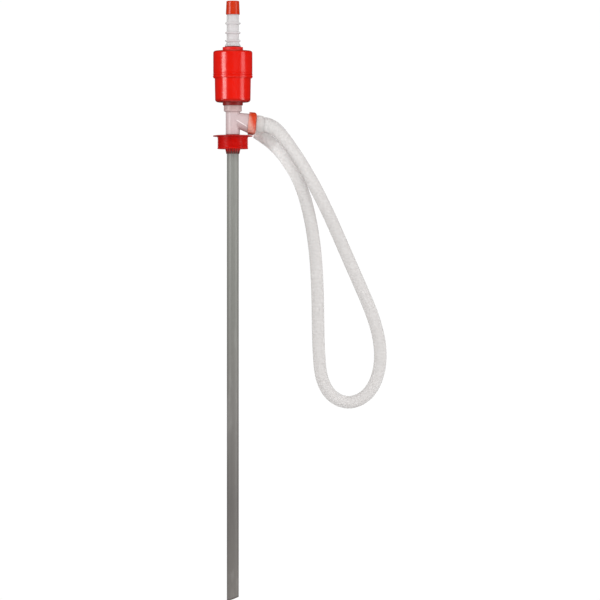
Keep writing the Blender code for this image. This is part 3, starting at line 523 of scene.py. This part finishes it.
def make_materials():
    """The materials by name. Most are named after the slot of the record that they finish."""
    hose = vinyl("soft vinyl", (0.640, 0.614, 0.602), 0.7, 0.58, level=0.15)
    stem = moulded("milky stem", (0.80, 0.77, 0.775), 0.34, mottle=0.03, alpha=0.62, soft=0.4)
    band = moulded("clear band", (0.95, 0.93, 0.92), 0.4, mottle=0.02, alpha=0.05, level=0.1)
    return {
        # painted shade round the upper cup's shoulder
        "cup_red": cup_red("glossy red", (0.34, 0.02, 0.008), shoulder_shade),
        # painted shade on the lower cup's foot and boss
        "lower_red": cup_red("glossy red, painted shade at the boss", (0.26, 0.006, 0.002), cup_foot_shade),
        "cap_red": moulded("satin red", (0.58, 0.030, 0.002), 0.24, mottle=0.04, grain=0.008 * MM),
        "adapter_red": adapter_red(),
        "nut_orange_red": nut_plastic(),
        "tube_grey": overlaid(extruded_grey(), (0.08, 0.062, 0.056), at_cut),
        "milky_body": milky_body(),
        # painted highlight: the spout's rib is whiter than the body
        "rib_highlight": moulded("milky ridge", (0.95, 0.86, 0.86), 0.3, mottle=0.02),
        "milky_stem": stem,
        # painted light lifts the shade on the free end behind the first run
        "hose_vinyl": overlaid(hose, (0.97, 0.945, 0.93), free_end_painted_light),
        # painted light: a lighter vinyl that lifts the shade at the cuff
        "cuff_vinyl_lit": vinyl("cuff vinyl", (0.82, 0.785, 0.765), 0.42, 0.6),
        "clear_band": band,
        "bellows_natural": moulded("natural bellows", (0.70, 0.67, 0.6), 0.45, soft=0.2),
        "natural_fitting": moulded("natural nylon", (0.70, 0.68, 0.65), 0.4, alpha=0.3),
        "white_fitting": moulded("white fitting", (0.78, 0.78, 0.76), 0.42),
        "black_rubber": moulded("black rubber", (0.025, 0.025, 0.027), 0.6, mottle=0.2),
        "bright_steel": steel(),
    }


# ---------------------------------------------------------------- lines and outlines
def heading(line, i):
    """The direction of a line of points at point number i."""
    return (line[min(i + 1, len(line) - 1)] - line[max(i - 1, 0)]).normalized()


def distances(line):
    """How far along the line each of its points is."""
    return np.concatenate([[0], np.cumsum(np.linalg.norm(np.diff(line, axis=0), axis=1))])


def angles(count):
    """Evenly spaced angles round a circle."""
    return [2 * math.pi * k / count for k in range(count)]


def filleted(corners, steps=4):
    """An outline in metres from corners in mm, (radius, height) or (radius, height, fillet).

    A fillet takes up less than half of each side next to it.
    """
    most = 0.48
    outline = []
    for i, (r, z, *rest) in enumerate(corners):
        here = Vector((r, z))
        before = Vector(corners[i - 1][:2]) - here
        after = Vector(corners[(i + 1) % len(corners)][:2]) - here
        if not rest:
            outline.append(here * MM)
            continue
        half = before.angle(after) / 2
        reach = min(rest[0] / math.tan(half), most * before.length, most * after.length)
        a, b = here + before.normalized() * reach, here + after.normalized() * reach
        for k in range(steps + 1):
            t = k / steps
            outline.append(((1 - t) ** 2 * a + 2 * t * (1 - t) * here + t**2 * b) * MM)
    return outline


def rows(radius, start, end, step):
    """Plain corners along a straight side, close enough together to carry a thread or ribs."""
    count = max(2, round(abs(end - start) / step))
    return [(radius, start + (end - start) * i / count) for i in range(count + 1)]


def sheet(line, wall):
    """The outline, in metres, of a wall that follows a line of (radius, height) in mm."""
    line = [Vector(p) for p in line]
    outside, inside = [], []
    for i, p in enumerate(line):
        along = heading(line, i)
        across = Vector((along.y, -along.x))
        outside.append(p + across * wall / 2)
        inside.append(p - across * wall / 2)
    return [(q.x * MM, q.y * MM) for q in outside + inside[::-1]]


def thread(radius, low, high, pitch, depth):
    """A radius offset for a screw thread on one surface, which runs out at its ends; sizes in mm.

    Its crests and grooves are flat, with straight flanks between them.
    """
    same = 0.05

    def offset(a, z, r):
        r, z = r / MM, z / MM
        if abs(r - radius) > same or not low <= z <= high:
            return 0
        turn = (z / pitch - a / (2 * math.pi)) % 1
        groove = min(1, max(0, 5.2 * abs(turn - 0.5) - 0.8))
        ends = min(1, (z - low) / pitch, (high - z) / pitch)
        return -depth * MM * groove * ends

    return offset


# ---------------------------------------------------------------- meshes
def smooth(o):
    """Shades a mesh smooth, apart from its sharp edges."""
    o.data.shade_smooth()
    o.data.set_sharp_from_angle(angle=SMOOTH_ANGLE)


def add_mesh(name, bm):
    bmesh.ops.recalc_face_normals(bm, faces=bm.faces)
    mesh = bpy.data.meshes.new(name)
    bm.to_mesh(mesh)
    bm.free()
    o = bpy.data.objects.new(name, mesh)
    bpy.context.scene.collection.objects.link(o)
    smooth(o)
    return o


def ring(bm, centre, side, up, radius, sides):
    """A circle of vertices in the plane of two directions."""
    return [
        bm.verts.new(centre + side * (radius * math.cos(a)) + up * (radius * math.sin(a)))
        for a in angles(sides)
    ]


def skin(bm, loops):
    """Faces from each loop of vertices to the next."""
    for a, b in zip(loops, loops[1:]):
        for k in range(len(a)):
            n = (k + 1) % len(a)
            bm.faces.new((a[k], a[n], b[n], b[k]))


def capped_skin(bm, loops):
    """The same, with a flat face over each end."""
    skin(bm, loops)
    bm.faces.new(loops[0])
    bm.faces.new(loops[-1])


def revolved(name, outline, sides=ROUND, offset=None):
    """A closed outline turned round Z. offset(angle, height, radius) adds to the radius."""
    bm = bmesh.new()
    rings = []
    for r, z in outline:
        if r == 0:
            rings.append([bm.verts.new((0, 0, z))])
            continue
        points = []
        for a in angles(sides):
            out = r + (offset(a, z, r) if offset else 0)
            points.append(bm.verts.new((out * math.cos(a), out * math.sin(a), z)))
        rings.append(points)
    for a, b in zip(rings, rings[1:] + rings[:1]):
        if len(a) == 1 and len(b) == 1:
            continue
        for k in range(sides):
            n = (k + 1) % sides
            corners = [a[k % len(a)], a[n % len(a)], b[n % len(b)], b[k % len(b)]]
            bm.faces.new(list(dict.fromkeys(corners)))
    return add_mesh(name, bm)


def turned(name, corners, sides=ROUND, offset=None, steps=4):
    """Corners in mm, filleted and turned round Z."""
    return revolved(name, filleted(corners, steps), sides, offset)


def apply_modifiers(o):
    graph = bpy.context.evaluated_depsgraph_get()
    mesh = bpy.data.meshes.new_from_object(o.evaluated_get(graph))
    o.modifiers.clear()
    old, o.data = o.data, mesh
    bpy.data.meshes.remove(old)


def carve(o, cutter, operation="DIFFERENCE"):
    """Applies a boolean and removes the cutter."""
    m = o.modifiers.new("carve", "BOOLEAN")
    m.object, m.operation, m.solver = cutter, operation, "EXACT"
    apply_modifiers(o)
    bpy.data.objects.remove(cutter, do_unlink=True)
    smooth(o)


def remesh(o, voxel, smoothing):
    """Puts one even skin over joined shapes, with the corners between them filled a little."""
    m = o.modifiers.new("skin", "REMESH")
    m.mode, m.voxel_size = "VOXEL", voxel
    s = o.modifiers.new("ease", "SMOOTH")
    s.factor, s.iterations = 0.5, smoothing
    apply_modifiers(o)


def outlet_frame():
    """Takes a point whose +Z is along the outlet axis, and whose -X is up, to the row frame."""
    return Matrix.Translation((0, 0, OUTLET_Z)) @ Matrix.Rotation(math.pi / 2 + OUTLET_TILT, 4, "Y")


def at_u(u):
    """The point u mm along the outlet axis."""
    return outlet_frame() @ Vector((0, 0, u * MM))


def on_outlet(o):
    """Moves a piece that was turned round Z onto the outlet axis."""
    o.data.transform(outlet_frame())
    return o


def dress(o, node, slot, body, materials, look=None):
    """The piece stands for the CAD node, takes the slot's finish and rides on the body."""
    o.data.materials.clear()
    o.data.materials.append(materials[look or slot])
    if node:
        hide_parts(node)
    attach(o, body)
    return o


# ---------------------------------------------------------------- bung adapter and tube
def make_adapter(materials):
    """A flange with a threaded skirt and, inside it, a split collet that grips the tube."""
    bore, hub, skirt_bore, skirt, flange = 12.0, 14.9, 27.5, 30.1, 38.8
    collet_foot, skirt_foot, web, flange_top, hub_top = -34.0, -24.2, -2.4, 2.5, 3.8
    seal_radius, seal_foot, seal_top = 14.3, -15.6, -12.0
    outline = [
        (bore, collet_foot, 0.3),
        (12.8, collet_foot, 0.4),
        (hub, skirt_foot, 1.5),
        (16.1, -21.2, 1.0),
        (16.9, web, 1.6),
        (skirt_bore, web, 1.6),
        (skirt_bore, skirt_foot, 0.4),
        (skirt, skirt_foot, 0.5),
        *rows(skirt, -23.7, -0.9, 0.42),
        (29.0, -0.4, 0.3),
        (29.0, 0.0, 0.3),
        (flange, 0.0, 0.7),
        (flange, 1.9, 0.8),
        (34.5, flange_top, 1.5),
        (hub, flange_top, 0.7),
        (hub, hub_top, 0.4),
        (bore, hub_top, 0.3),
        (bore, seal_top),
        (seal_radius, seal_top),
        (seal_radius, seal_foot),
        (bore, seal_foot),
    ]
    cut = thread(skirt, -23.4, -1.2, pitch=2.2, depth=1.2)
    adapter = turned("bung_adapter_fine", outline, sides=144, offset=cut)
    carve(adapter, collet_slots())
    dress(adapter, "bung_adapter", "adapter_red", "adapter", materials)


def collet_slots():
    """The upright slots that split the collet into fingers, as one cutter."""
    count, depth, width, height = 16, 6 * MM, 1.5 * MM, 16 * MM
    from_axis, middle = 13.7 * MM, -28.0 * MM
    bm = bmesh.new()
    for i in range(count):
        slot = bmesh.ops.create_cube(bm, size=1.0)["verts"]
        size = Matrix.Diagonal((depth, width, height, 1))
        place = Matrix.Translation((from_axis, 0, middle))
        turn = Matrix.Rotation(2 * math.pi * (i + 0.5) / count, 4, "Z")
        bmesh.ops.transform(bm, matrix=turn @ place @ size, verts=slot)
    return add_mesh("slots", bm)


def make_tube(materials):
    """A straight tube, cut square at its top and slanting at its foot."""
    outline = [
        (TUBE_BORE, TUBE_FOOT, 0.3),
        (TUBE_RADIUS, TUBE_FOOT, 0.4),
        (TUBE_RADIUS, TUBE_TOP, 0.4),
        (TUBE_BORE, TUBE_TOP, 0.3),
    ]
    tube = turned("suction_tube_fine", outline)
    for v in tube.data.vertices:
        if v.co.z < 0:
            v.co.z += TUBE_SLANT * v.co.x
    dress(tube, "suction_tube", "tube_grey", "pump", materials)


# ---------------------------------------------------------------- tee body
def spout_loft(name, inset, end_u, tail):
    """The flared spout, from an upright oval inside the tee to a circle at end_u.

    inset shrinks the flare. tail is more rings past end_u, as (u, radius). All are in mm.
    """
    steps = 20
    root = Vector(SPOUT_ROOT) * MM
    end = at_u(end_u)
    reached = min(1.0, (end.x - root.x) / (SPOUT_FLARE_U * MM - root.x))
    rings_at = []
    for i in range(steps + 1):
        share = i / steps
        flare = (share * reached) ** 1.15
        high = SPOUT_ROOT_HALF_HEIGHT * (1 - flare) + SPOUT_RADIUS * flare - inset
        wide = SPOUT_ROOT_HALF_WIDTH * (1 - flare) + SPOUT_RADIUS * flare - inset
        rings_at.append((root.lerp(end, share), OUTLET_TILT * share, high * MM, wide * MM))
    for u, radius in tail:
        rings_at.append((at_u(u), OUTLET_TILT, radius * MM, radius * MM))
    bm = bmesh.new()
    rings = []
    for centre, lean, high, wide in rings_at:
        oval = []
        for a in angles(ROUND):
            up = high * math.cos(a)
            place = Vector((up * math.sin(lean), wide * math.sin(a), up * math.cos(lean)))
            oval.append(bm.verts.new(centre + place))
        rings.append(oval)
    capped_skin(bm, rings)
    return add_mesh(name, bm)


def make_tee(materials):
    """The upright socket, collar and neck with the spout joined on, and then hollowed out."""
    radius, collar, neck = 13.9, 17.65, 13.5
    foot, collar_foot, collar_top, neck_top = 4.1, 48.2, 60.9, 86.0
    upright = [
        (0, foot), (radius, foot, 0.6), (radius, collar_foot, 1.2), (collar, 49.6, 1.0),
        (collar, collar_top, 0.5), (neck, collar_top), (neck, neck_top, 0.5), (0, neck_top),
    ]
    socket, neck_bore = 12.0, 10.5
    below, above = 2, 88  # past both ends
    hollow = [
        (0, below), (socket, below), (socket, 50.2, 1), (neck_bore, 54.2, 1), (neck_bore, above),
        (0, above),
    ]
    thread_radius, ledge_bore, thread_bore = 18.4, 14.5, 16.0
    outside = [(SPOUT_FLARE_U + 0.01, thread_radius), (SPOUT_TIP_U, thread_radius)]
    inside = [
        (SPOUT_LEDGE_U + 0.1, ledge_bore), (30.7, ledge_bore), (30.8, thread_bore),
        (SPOUT_TIP_U + 2, thread_bore),
    ]
    tee = turned("tee_body_fine", upright)
    carve(tee, spout_loft("spout_out", 0.0, SPOUT_FLARE_U, outside), "UNION")
    remesh(tee, 0.55 * MM, 5)
    carve(tee, turned("tee_bore", hollow))
    carve(tee, spout_loft("spout_in", SPOUT_WALL, SPOUT_LEDGE_U, inside))
    dress(tee, "tee_body", "milky_body", "pump", materials)
    make_spout_ribs(tee, materials)


def make_spout_ribs(tee, materials):
    """The slanting moulded rib that shows on the spout's near side and, mirrored, on its far side, whiter
    as a painted highlight.
    """
    start, end = Vector((6.4, 0, 32.6)) * MM, Vector((29.8, 0, 18.0)) * MM
    steps, sides, radius, far_out = 30, 10, 1.2 * MM, 50 * MM
    out = Vector((0, 1, 0))
    across = out.cross((end - start).normalized())
    bm = bmesh.new()
    for face in (-1, 1):
        rings = []
        for i in range(steps + 1):
            p = start.lerp(end, i / steps)
            _, place, _, _ = tee.ray_cast(Vector((p.x, face * far_out, p.z)), -face * out)
            taper = max(0.15, min(1.0, 8 * i / steps, 5 * (steps - i) / steps))
            rings.append(ring(bm, place, across, out, radius * taper, sides))
        capped_skin(bm, rings)
    dress(add_mesh("spout_ribs", bm), None, "milky_body", "pump", materials, "rib_highlight")


# ---------------------------------------------------------------- outlet: nut, tail, cuff
def make_nut(materials):
    """The union nut: a ribbed skirt over the spout's thread, and a dome that closes in on the hose."""
    radius, bore, face_radius, lip_bore = 22.3, 18.75, 15.6, 11.5
    foot, shoulder, lip_foot, face = 30.9, 40.5, 43.6, 46.2
    rib_count, groove = 20, 0.5 * MM
    dome = [
        (
            face_radius + (radius - face_radius) * math.cos(math.radians(a)),
            shoulder + (face - shoulder) * math.sin(math.radians(a)),
        )
        for a in range(0, 91, 9)
    ]
    outline = [
        (bore, foot, 0.3),
        (radius, foot, 0.7),
        *rows(radius, 31.8, 40.2, 1.2),
        *dome,
        (lip_bore, face, 0.5),
        (lip_bore, lip_foot, 0.3),
        (bore, lip_foot, 0.4),
    ]

    def grip(a, z, r):
        if r < 21.5 * MM or not 31.5 * MM < z < 43.5 * MM:
            return 0
        return -groove * max(0, min(1, 0.5 - 1.3 * math.cos(rib_count * a)))

    nut = on_outlet(turned("outlet_nut_fine", outline, sides=160, offset=grip))
    dress(nut, "outlet_nut", "nut_orange_red", "pump", materials)


def make_tail(materials):
    """The barbed tail: a flange under the nut's lip, and a barbed pipe inside the cuff."""
    radius, barb_radius, bore, flange = 9.3, 10.1, 7.4, 17.8
    flange_foot, flange_top, tip, barbs = 41.3, 43.3, 55.0, 4
    outline = [
        (9.7, flange_foot, 0.3), (flange, flange_foot, 0.3), (flange, flange_top, 0.3),
        (radius, flange_top, 0.4),
    ]
    for i in range(barbs):
        start = CUFF_START_U + (tip - CUFF_START_U) * i / barbs
        outline += [(radius, start + 0.4), (barb_radius, start + 0.9, 0.15)]
    outline += [(radius, tip, 0.3), (bore, tip, 0.3), (bore, 43.9, 0.5)]
    tail = on_outlet(turned("hose_tail_fine", outline))
    dress(tail, "hose_tail", "white_fitting", "pump", materials)


def make_cuff(materials):
    """The smooth soft cuff between the nut and the hose's ridges."""
    tail_bore, hose_bore, step = 10.5, 13.4, 55.4
    outline = [
        (tail_bore, CUFF_START_U, 0.3), (17.2, CUFF_START_U, 1.2), (17.0, step, 5.0),
        (15.3, CUFF_END_U, 0.3), (hose_bore, CUFF_END_U, 0.4), (hose_bore, step), (tail_bore, step),
    ]
    cuff = on_outlet(turned("hose_cuff_fine", outline))
    dress(cuff, "hose_cuff", "hose_vinyl", "pump", materials, "cuff_vinyl_lit")


# ---------------------------------------------------------------- hose and tie
def smooth_line(points, spacing):
    """Evenly spaced points on a natural cubic spline, from the second of the given points on.

    The first point only gives the spline its direction.
    """
    line = np.array(points)
    at = distances(line)
    step = np.diff(at)
    count = len(line)
    system, right = np.eye(count), np.zeros((count, 3))
    for i in range(1, count - 1):
        system[i, i - 1 : i + 2] = step[i - 1], 2 * (step[i - 1] + step[i]), step[i]
        right[i] = 6 * ((line[i + 1] - line[i]) / step[i] - (line[i] - line[i - 1]) / step[i - 1])
    bend = np.linalg.solve(system, right)
    t = np.linspace(at[1], at[-1], 400 * count)
    k = np.clip(np.searchsorted(at, t, side="right") - 1, 0, count - 2)
    b, a = (t - at[k]) / step[k], (at[k + 1] - t) / step[k]
    curved = (a**3 - a)[:, None] * bend[k] + (b**3 - b)[:, None] * bend[k + 1]
    straight = a[:, None] * line[k] + b[:, None] * line[k + 1]
    fine = straight + curved * step[k][:, None] ** 2 / 6
    reached = distances(fine)
    want = np.linspace(0, reached[-1], round(reached[-1] / spacing) + 1)
    return [Vector(p) for p in zip(*(np.interp(want, reached, fine[:, c]) for c in range(3)))]


def hose_line(spacing):
    """The hose's centre line: straight inside the cuff, then one smooth curve to the free end."""
    start, bend, steps = at_u(HOSE_START_U), at_u(HOSE_BEND_U), 4
    route = [Vector(p) * MM for p in HOSE_ROUTE_MM]
    lead = [start.lerp(bend, i / steps) for i in range(steps)]
    return [*lead, *smooth_line([start, bend, *route], spacing)]


def with_bell_edge(line):
    """The line with two more points, close together, where the bell starts at the cuff's mouth."""
    travelled = distances(line)
    after = next(i for i, t in enumerate(travelled) if t > HOSE_BELL_START)
    share = (HOSE_BELL_START - travelled[after - 1]) / (travelled[after] - travelled[after - 1])
    edge = [line[after - 1].lerp(line[after], share + nudge) for nudge in (-0.01, 0.01)]
    return line[:after] + edge + line[after:]


def hose_radius(distance):
    """The outside radius at a distance along the hose: ridged, with a wider bell past the cuff.

    The power makes the ridges broader than the grooves.
    """
    past = distance - HOSE_BELL_START
    wave = 0.5 - 0.5 * math.cos(2 * math.pi * past / HOSE_PITCH)
    radius = HOSE_DIAMETER / 2 - HOSE_SLACK - HOSE_RIDGE * wave**1.6
    share = past / HOSE_BELL_LENGTH
    if 0 <= share <= 1:
        radius += HOSE_BELL_RISE * (1 - share) ** 2 * (1 + 2 * share)
    return radius


def make_hose(materials):
    """A corrugated tube: rings of vertices at every point of the line, carried along without twist."""
    path = hose_line(HOSE_PITCH / HOSE_ROWS_PER_RIDGE)
    line = with_bell_edge(path)
    travelled = distances(line)
    inside = HOSE_DIAMETER / 2 - HOSE_WALL
    side = Vector((0, 1, 0))
    bm = bmesh.new()
    outer, start_lip, end_lip = [], [], []
    for i, (p, t) in enumerate(zip(line, travelled)):
        along = heading(line, i)
        side = (side - along * side.dot(along)).normalized()
        up = along.cross(side)
        outer.append(ring(bm, p, side, up, hose_radius(t), HOSE_SIDES))
        if t < HOSE_START_LIP:
            start_lip.append(ring(bm, p, side, up, inside, HOSE_SIDES))
        if t > travelled[-1] - HOSE_END_LIP:
            end_lip.append(ring(bm, p, side, up, inside, HOSE_SIDES))
    skin(bm, start_lip[::-1] + outer + end_lip[::-1])
    hose = add_mesh("hose_fine", bm)
    hose.data.shade_smooth()
    dress(hose, "hose", "hose_vinyl", "pump", materials)
    return hose, path


def tie_place():
    """The tie's middle, the step from one run to the other, and the direction along the runs."""
    line = hose_line(HOSE_LENGTH / TIE_LINE_STEPS)
    half = len(line) // 2
    want = Vector(TIE_AT_MM) * MM
    first = min(range(half), key=lambda i: (line[i] - want).length)
    second = min(range(half, len(line)), key=lambda i: (line[i] - line[first]).length)
    along = (heading(line, first) - heading(line, second)).normalized()
    between = line[second] - line[first]
    between -= along * between.dot(along)
    return line[first] + between / 2, between, along


def make_tie(materials):
    """A thin clear band round the two runs of the hose: two half circles and two straight sides."""
    middle, between, along = tie_place()
    across = between.normalized()
    other = along.cross(across)
    section = (  # mm: across the band's width, and out from its inner face
        (-2.0, 0.2), (-1.8, 0.0), (1.8, 0.0), (2.0, 0.2), (2.0, 0.5), (1.8, 0.7), (-1.8, 0.7),
        (-2.0, 0.5),
    )
    clearance, steps = 0.3 * MM, 24
    bm = bmesh.new()
    loops = []
    for width, lift in section:
        radius = HOSE_DIAMETER / 2 + clearance + lift * MM
        loop = []
        for end in (1, -1):
            for k in range(steps + 1):
                a = math.radians(-90 + 180 * k / steps)
                wide = end * (between.length / 2 + radius * math.cos(a))
                deep = end * radius * math.sin(a)
                place = middle + across * wide + other * deep + along * (width * MM)
                loop.append(bm.verts.new(place))
        loops.append(loop)
    skin(bm, loops + loops[:1])
    tie = add_mesh("hose_tie_fine", bm)
    return dress(tie, "hose_tie", "natural_fitting", "pump", materials, "clear_band")


# ---------------------------------------------------------------- cups, bellows, stem and cap
def make_lower_cup(materials):
    """The red cup that opens upwards, with a boss below and a groove for the guide ring."""
    bore, boss, inside, groove, rim = 13.8, 19.75, 32.0, 34.0, 35.9
    foot, boss_top, floor, groove_foot, groove_top, top = 61.2, 67.2, 69.7, 118.6, 123.6, 125.8
    outline = [
        (bore, foot, 0.3), (boss, foot, 0.6), (boss, boss_top, 0.5), (34.6, boss_top, 6.5),
        (35.5, 117.6, 0.4), (groove, groove_foot, 0.2), (groove, groove_top, 0.2),
        (rim, groove_top, 0.3), (rim, top, 0.5), (inside, top, 0.5), (inside, floor, 3.4),
        (bore, floor, 0.3),
    ]
    cup = turned("lower_cup_fine", outline, steps=10)
    dress(cup, "lower_cup", "cup_red", "pump", materials, "lower_red")


def make_upper_cup(materials):
    """The red cup that opens downwards, with a boss on top and a rim of two beads."""
    bore, boss, inside, lip, wall, bead = 9.8, 20.0, 36.5, 35.9, 38.4, 38.85
    foot, roof, top = 114.5, 165.4, 175.2
    outline = [
        (lip, foot, 0.4), (38.0, foot, 0.3), (38.0, 115.7, 0.1),
        (bead, 116.5, 0.4), (bead, 119.3, 0.4), (37.7, 119.9, 0.2), (37.7, 120.7, 0.2),
        (bead, 121.2, 0.5), (bead, 123.2, 0.5), (37.8, 123.8, 0.2), (37.8, 124.6, 0.2),
        (wall, 125.2, 0.3), (wall, 167.8, 5.0), (boss, 169.0, 0.8), (boss, top, 0.8),
        (bore, top, 0.3), (bore, roof, 0.3), (inside, roof, 2.4), (inside, 118.6, 0.2),
        (lip, 118.0, 0.2),
    ]
    cup = turned("upper_cup_fine", outline, steps=10)
    dress(cup, "upper_cup", "cup_red", "head", materials)


def make_guide_ring(materials):
    """The slip ring in the lower cup's groove."""
    inside, outside, foot, top = 34.3, 36.0, 118.9, 123.3
    outline = [(inside, foot, 0.3), (outside, foot, 0.3), (outside, top, 0.3), (inside, top, 0.3)]
    dress(turned("guide_ring_fine", outline), "guide_ring", "white_fitting", "pump", materials)


def make_bellows(materials):
    """Blow-moulded folds between a foot collar and a neck.

    On the real pump the folds close up as the cups are pushed together; this mesh keeps one shape. The
    foot collar is a piece of its own, because it stays on the tee. The first and the last half fold lead
    out of the two collars.
    """
    wall, root, crest = 1.2, 19.0, 28.6
    collar, neck = 14.4, 10.4
    count, steps = 6, 16
    low, high = 86.8, 150.4
    line = [(collar, FOLDS_FOOT)]
    for i in range(count * steps + 1):
        t = i / steps
        wave = 0.5 - 0.5 * math.cos(2 * math.pi * t)
        start = collar + 0.2 if t < 0.5 else neck + 0.1
        base = start + (root - start) * min(1.0, 2 * t, 2 * (count - t))
        line.append((base + (crest - base) * wave**0.9, low + (high - low) * t / count))
    line += [(neck, 151.2), (neck, 154.0), (neck, FOLDS_TOP)]
    folds = revolved("bellows_fine", sheet(line, wall))
    folds.data.shade_smooth()
    dress(folds, "bellows", "bellows_natural", "head", materials)
    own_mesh(folds)
    foot = [(collar, 78.4), (collar, 81.0), (collar, 84.5), (collar, FOLDS_FOOT)]
    foot_collar = revolved("bellows_foot_fine", sheet(foot, wall))
    dress(foot_collar, None, "bellows_natural", "pump", materials)


def make_stem(materials):
    """The hollow grip stem: a neck, a flared foot, three finger rings and the cap's thread."""
    neck, neck_bore, flare, grip, finger, grip_bore = 9.5, 7.2, 15.8, 12.0, 15.2, 9.6
    cap_neck, cap_bore = 10.8, 8.4
    foot, flare_foot, shoulder, top = 150.0, 177.0, 238.8, 258.0
    outline = [
        (neck_bore, foot, 0.2), (neck, foot, 0.4), (neck, flare_foot, 0.2),
        (flare, flare_foot, 0.5), (flare, 178.0, 0.6), (13.2, 182.0, 1.6), (grip, 185.2, 1.0),
    ]
    for z in (187.4, 203.3, 221.7):
        outline += [
            (grip, z - 2.6, 1.4), (finger, z - 1.0, 1.0), (finger, z + 1.0, 1.0),
            (grip, z + 2.6, 1.4),
        ]
    outline += [
        (grip, shoulder, 0.5), (10.9, shoulder, 0.2), (10.9, 240.4, 0.2),
        *rows(cap_neck, 240.8, 257.0, 0.4), (cap_neck, top, 0.4), (cap_bore, top, 0.4),
        (cap_bore, 236.8, 0.4), (grip_bore, 234.8, 0.4), (grip_bore, 187.2, 0.4),
        (neck_bore, 183.2, 0.4),
    ]
    cut = thread(cap_neck, 240.8, 257.4, pitch=3.0, depth=0.9)
    stem = turned("grip_stem_fine", outline, offset=cut)
    dress(stem, "grip_stem", "milky_stem", "head", materials)


def make_cap(materials):
    """The vent cap: a slightly tapered cup with a rounded top, which screws on the stem."""
    bore, foot, roof, top = 11.2, 239.2, 261.5, 265.85
    outline = [
        (bore, foot, 0.2), (13.3, foot, 0.4), (13.6, 240.0, 0.4), (13.5, 242.0), (13.2, 249.0),
        (12.9, 256.0), (12.65, 261.5), (12.5, top, 3.4), (0, top), (0, roof), (bore, roof, 0.4),
        (bore, 256.0),
    ]
    cap = turned("vent_cap_fine", outline, steps=8)
    dress(cap, "vent_cap", "cap_red", "cap", materials)


# ---------------------------------------------------------------- the hidden pieces keep their CAD shapes
HIDDEN = {  # node: material
    "tube_seal_ring": "black_rubber",
    "tube_gasket": "black_rubber",
    "suction_valve_seat": "white_fitting",
    "ball_cage": "natural_fitting",
    "suction_ball": "black_rubber",
    "outlet_valve_seat": "white_fitting",
    "flap_pin": "bright_steel",
    "outlet_flap": "black_rubber",
    "body_gasket": "black_rubber",
    "body_lock_nut": "white_fitting",
    "bellows_clamp_lower": "bright_steel",
    "stem_gasket": "black_rubber",
    "stem_lock_nut": "white_fitting",
    "bellows_clamp_upper": "bright_steel",
    "vent_cap_liner": "black_rubber",
}


def finish_hidden(materials):
    for node, look in HIDDEN.items():
        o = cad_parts[node]
        o.data.materials.clear()
        o.data.materials.append(materials[look])


def main():
    make_camera()
    materials = make_materials()
    hose, path = make_hose(materials)
    tie = make_tie(materials)
    [tuple(p) for p in path]
    make_adapter(materials)
    make_tube(materials)
    make_tee(materials)
    make_nut(materials)
    make_tail(materials)
    make_cuff(materials)
    make_lower_cup(materials)
    make_upper_cup(materials)
    make_guide_ring(materials)
    make_bellows(materials)
    make_stem(materials)
    make_cap(materials)
    finish_hidden(materials)
    make_studio()


main()
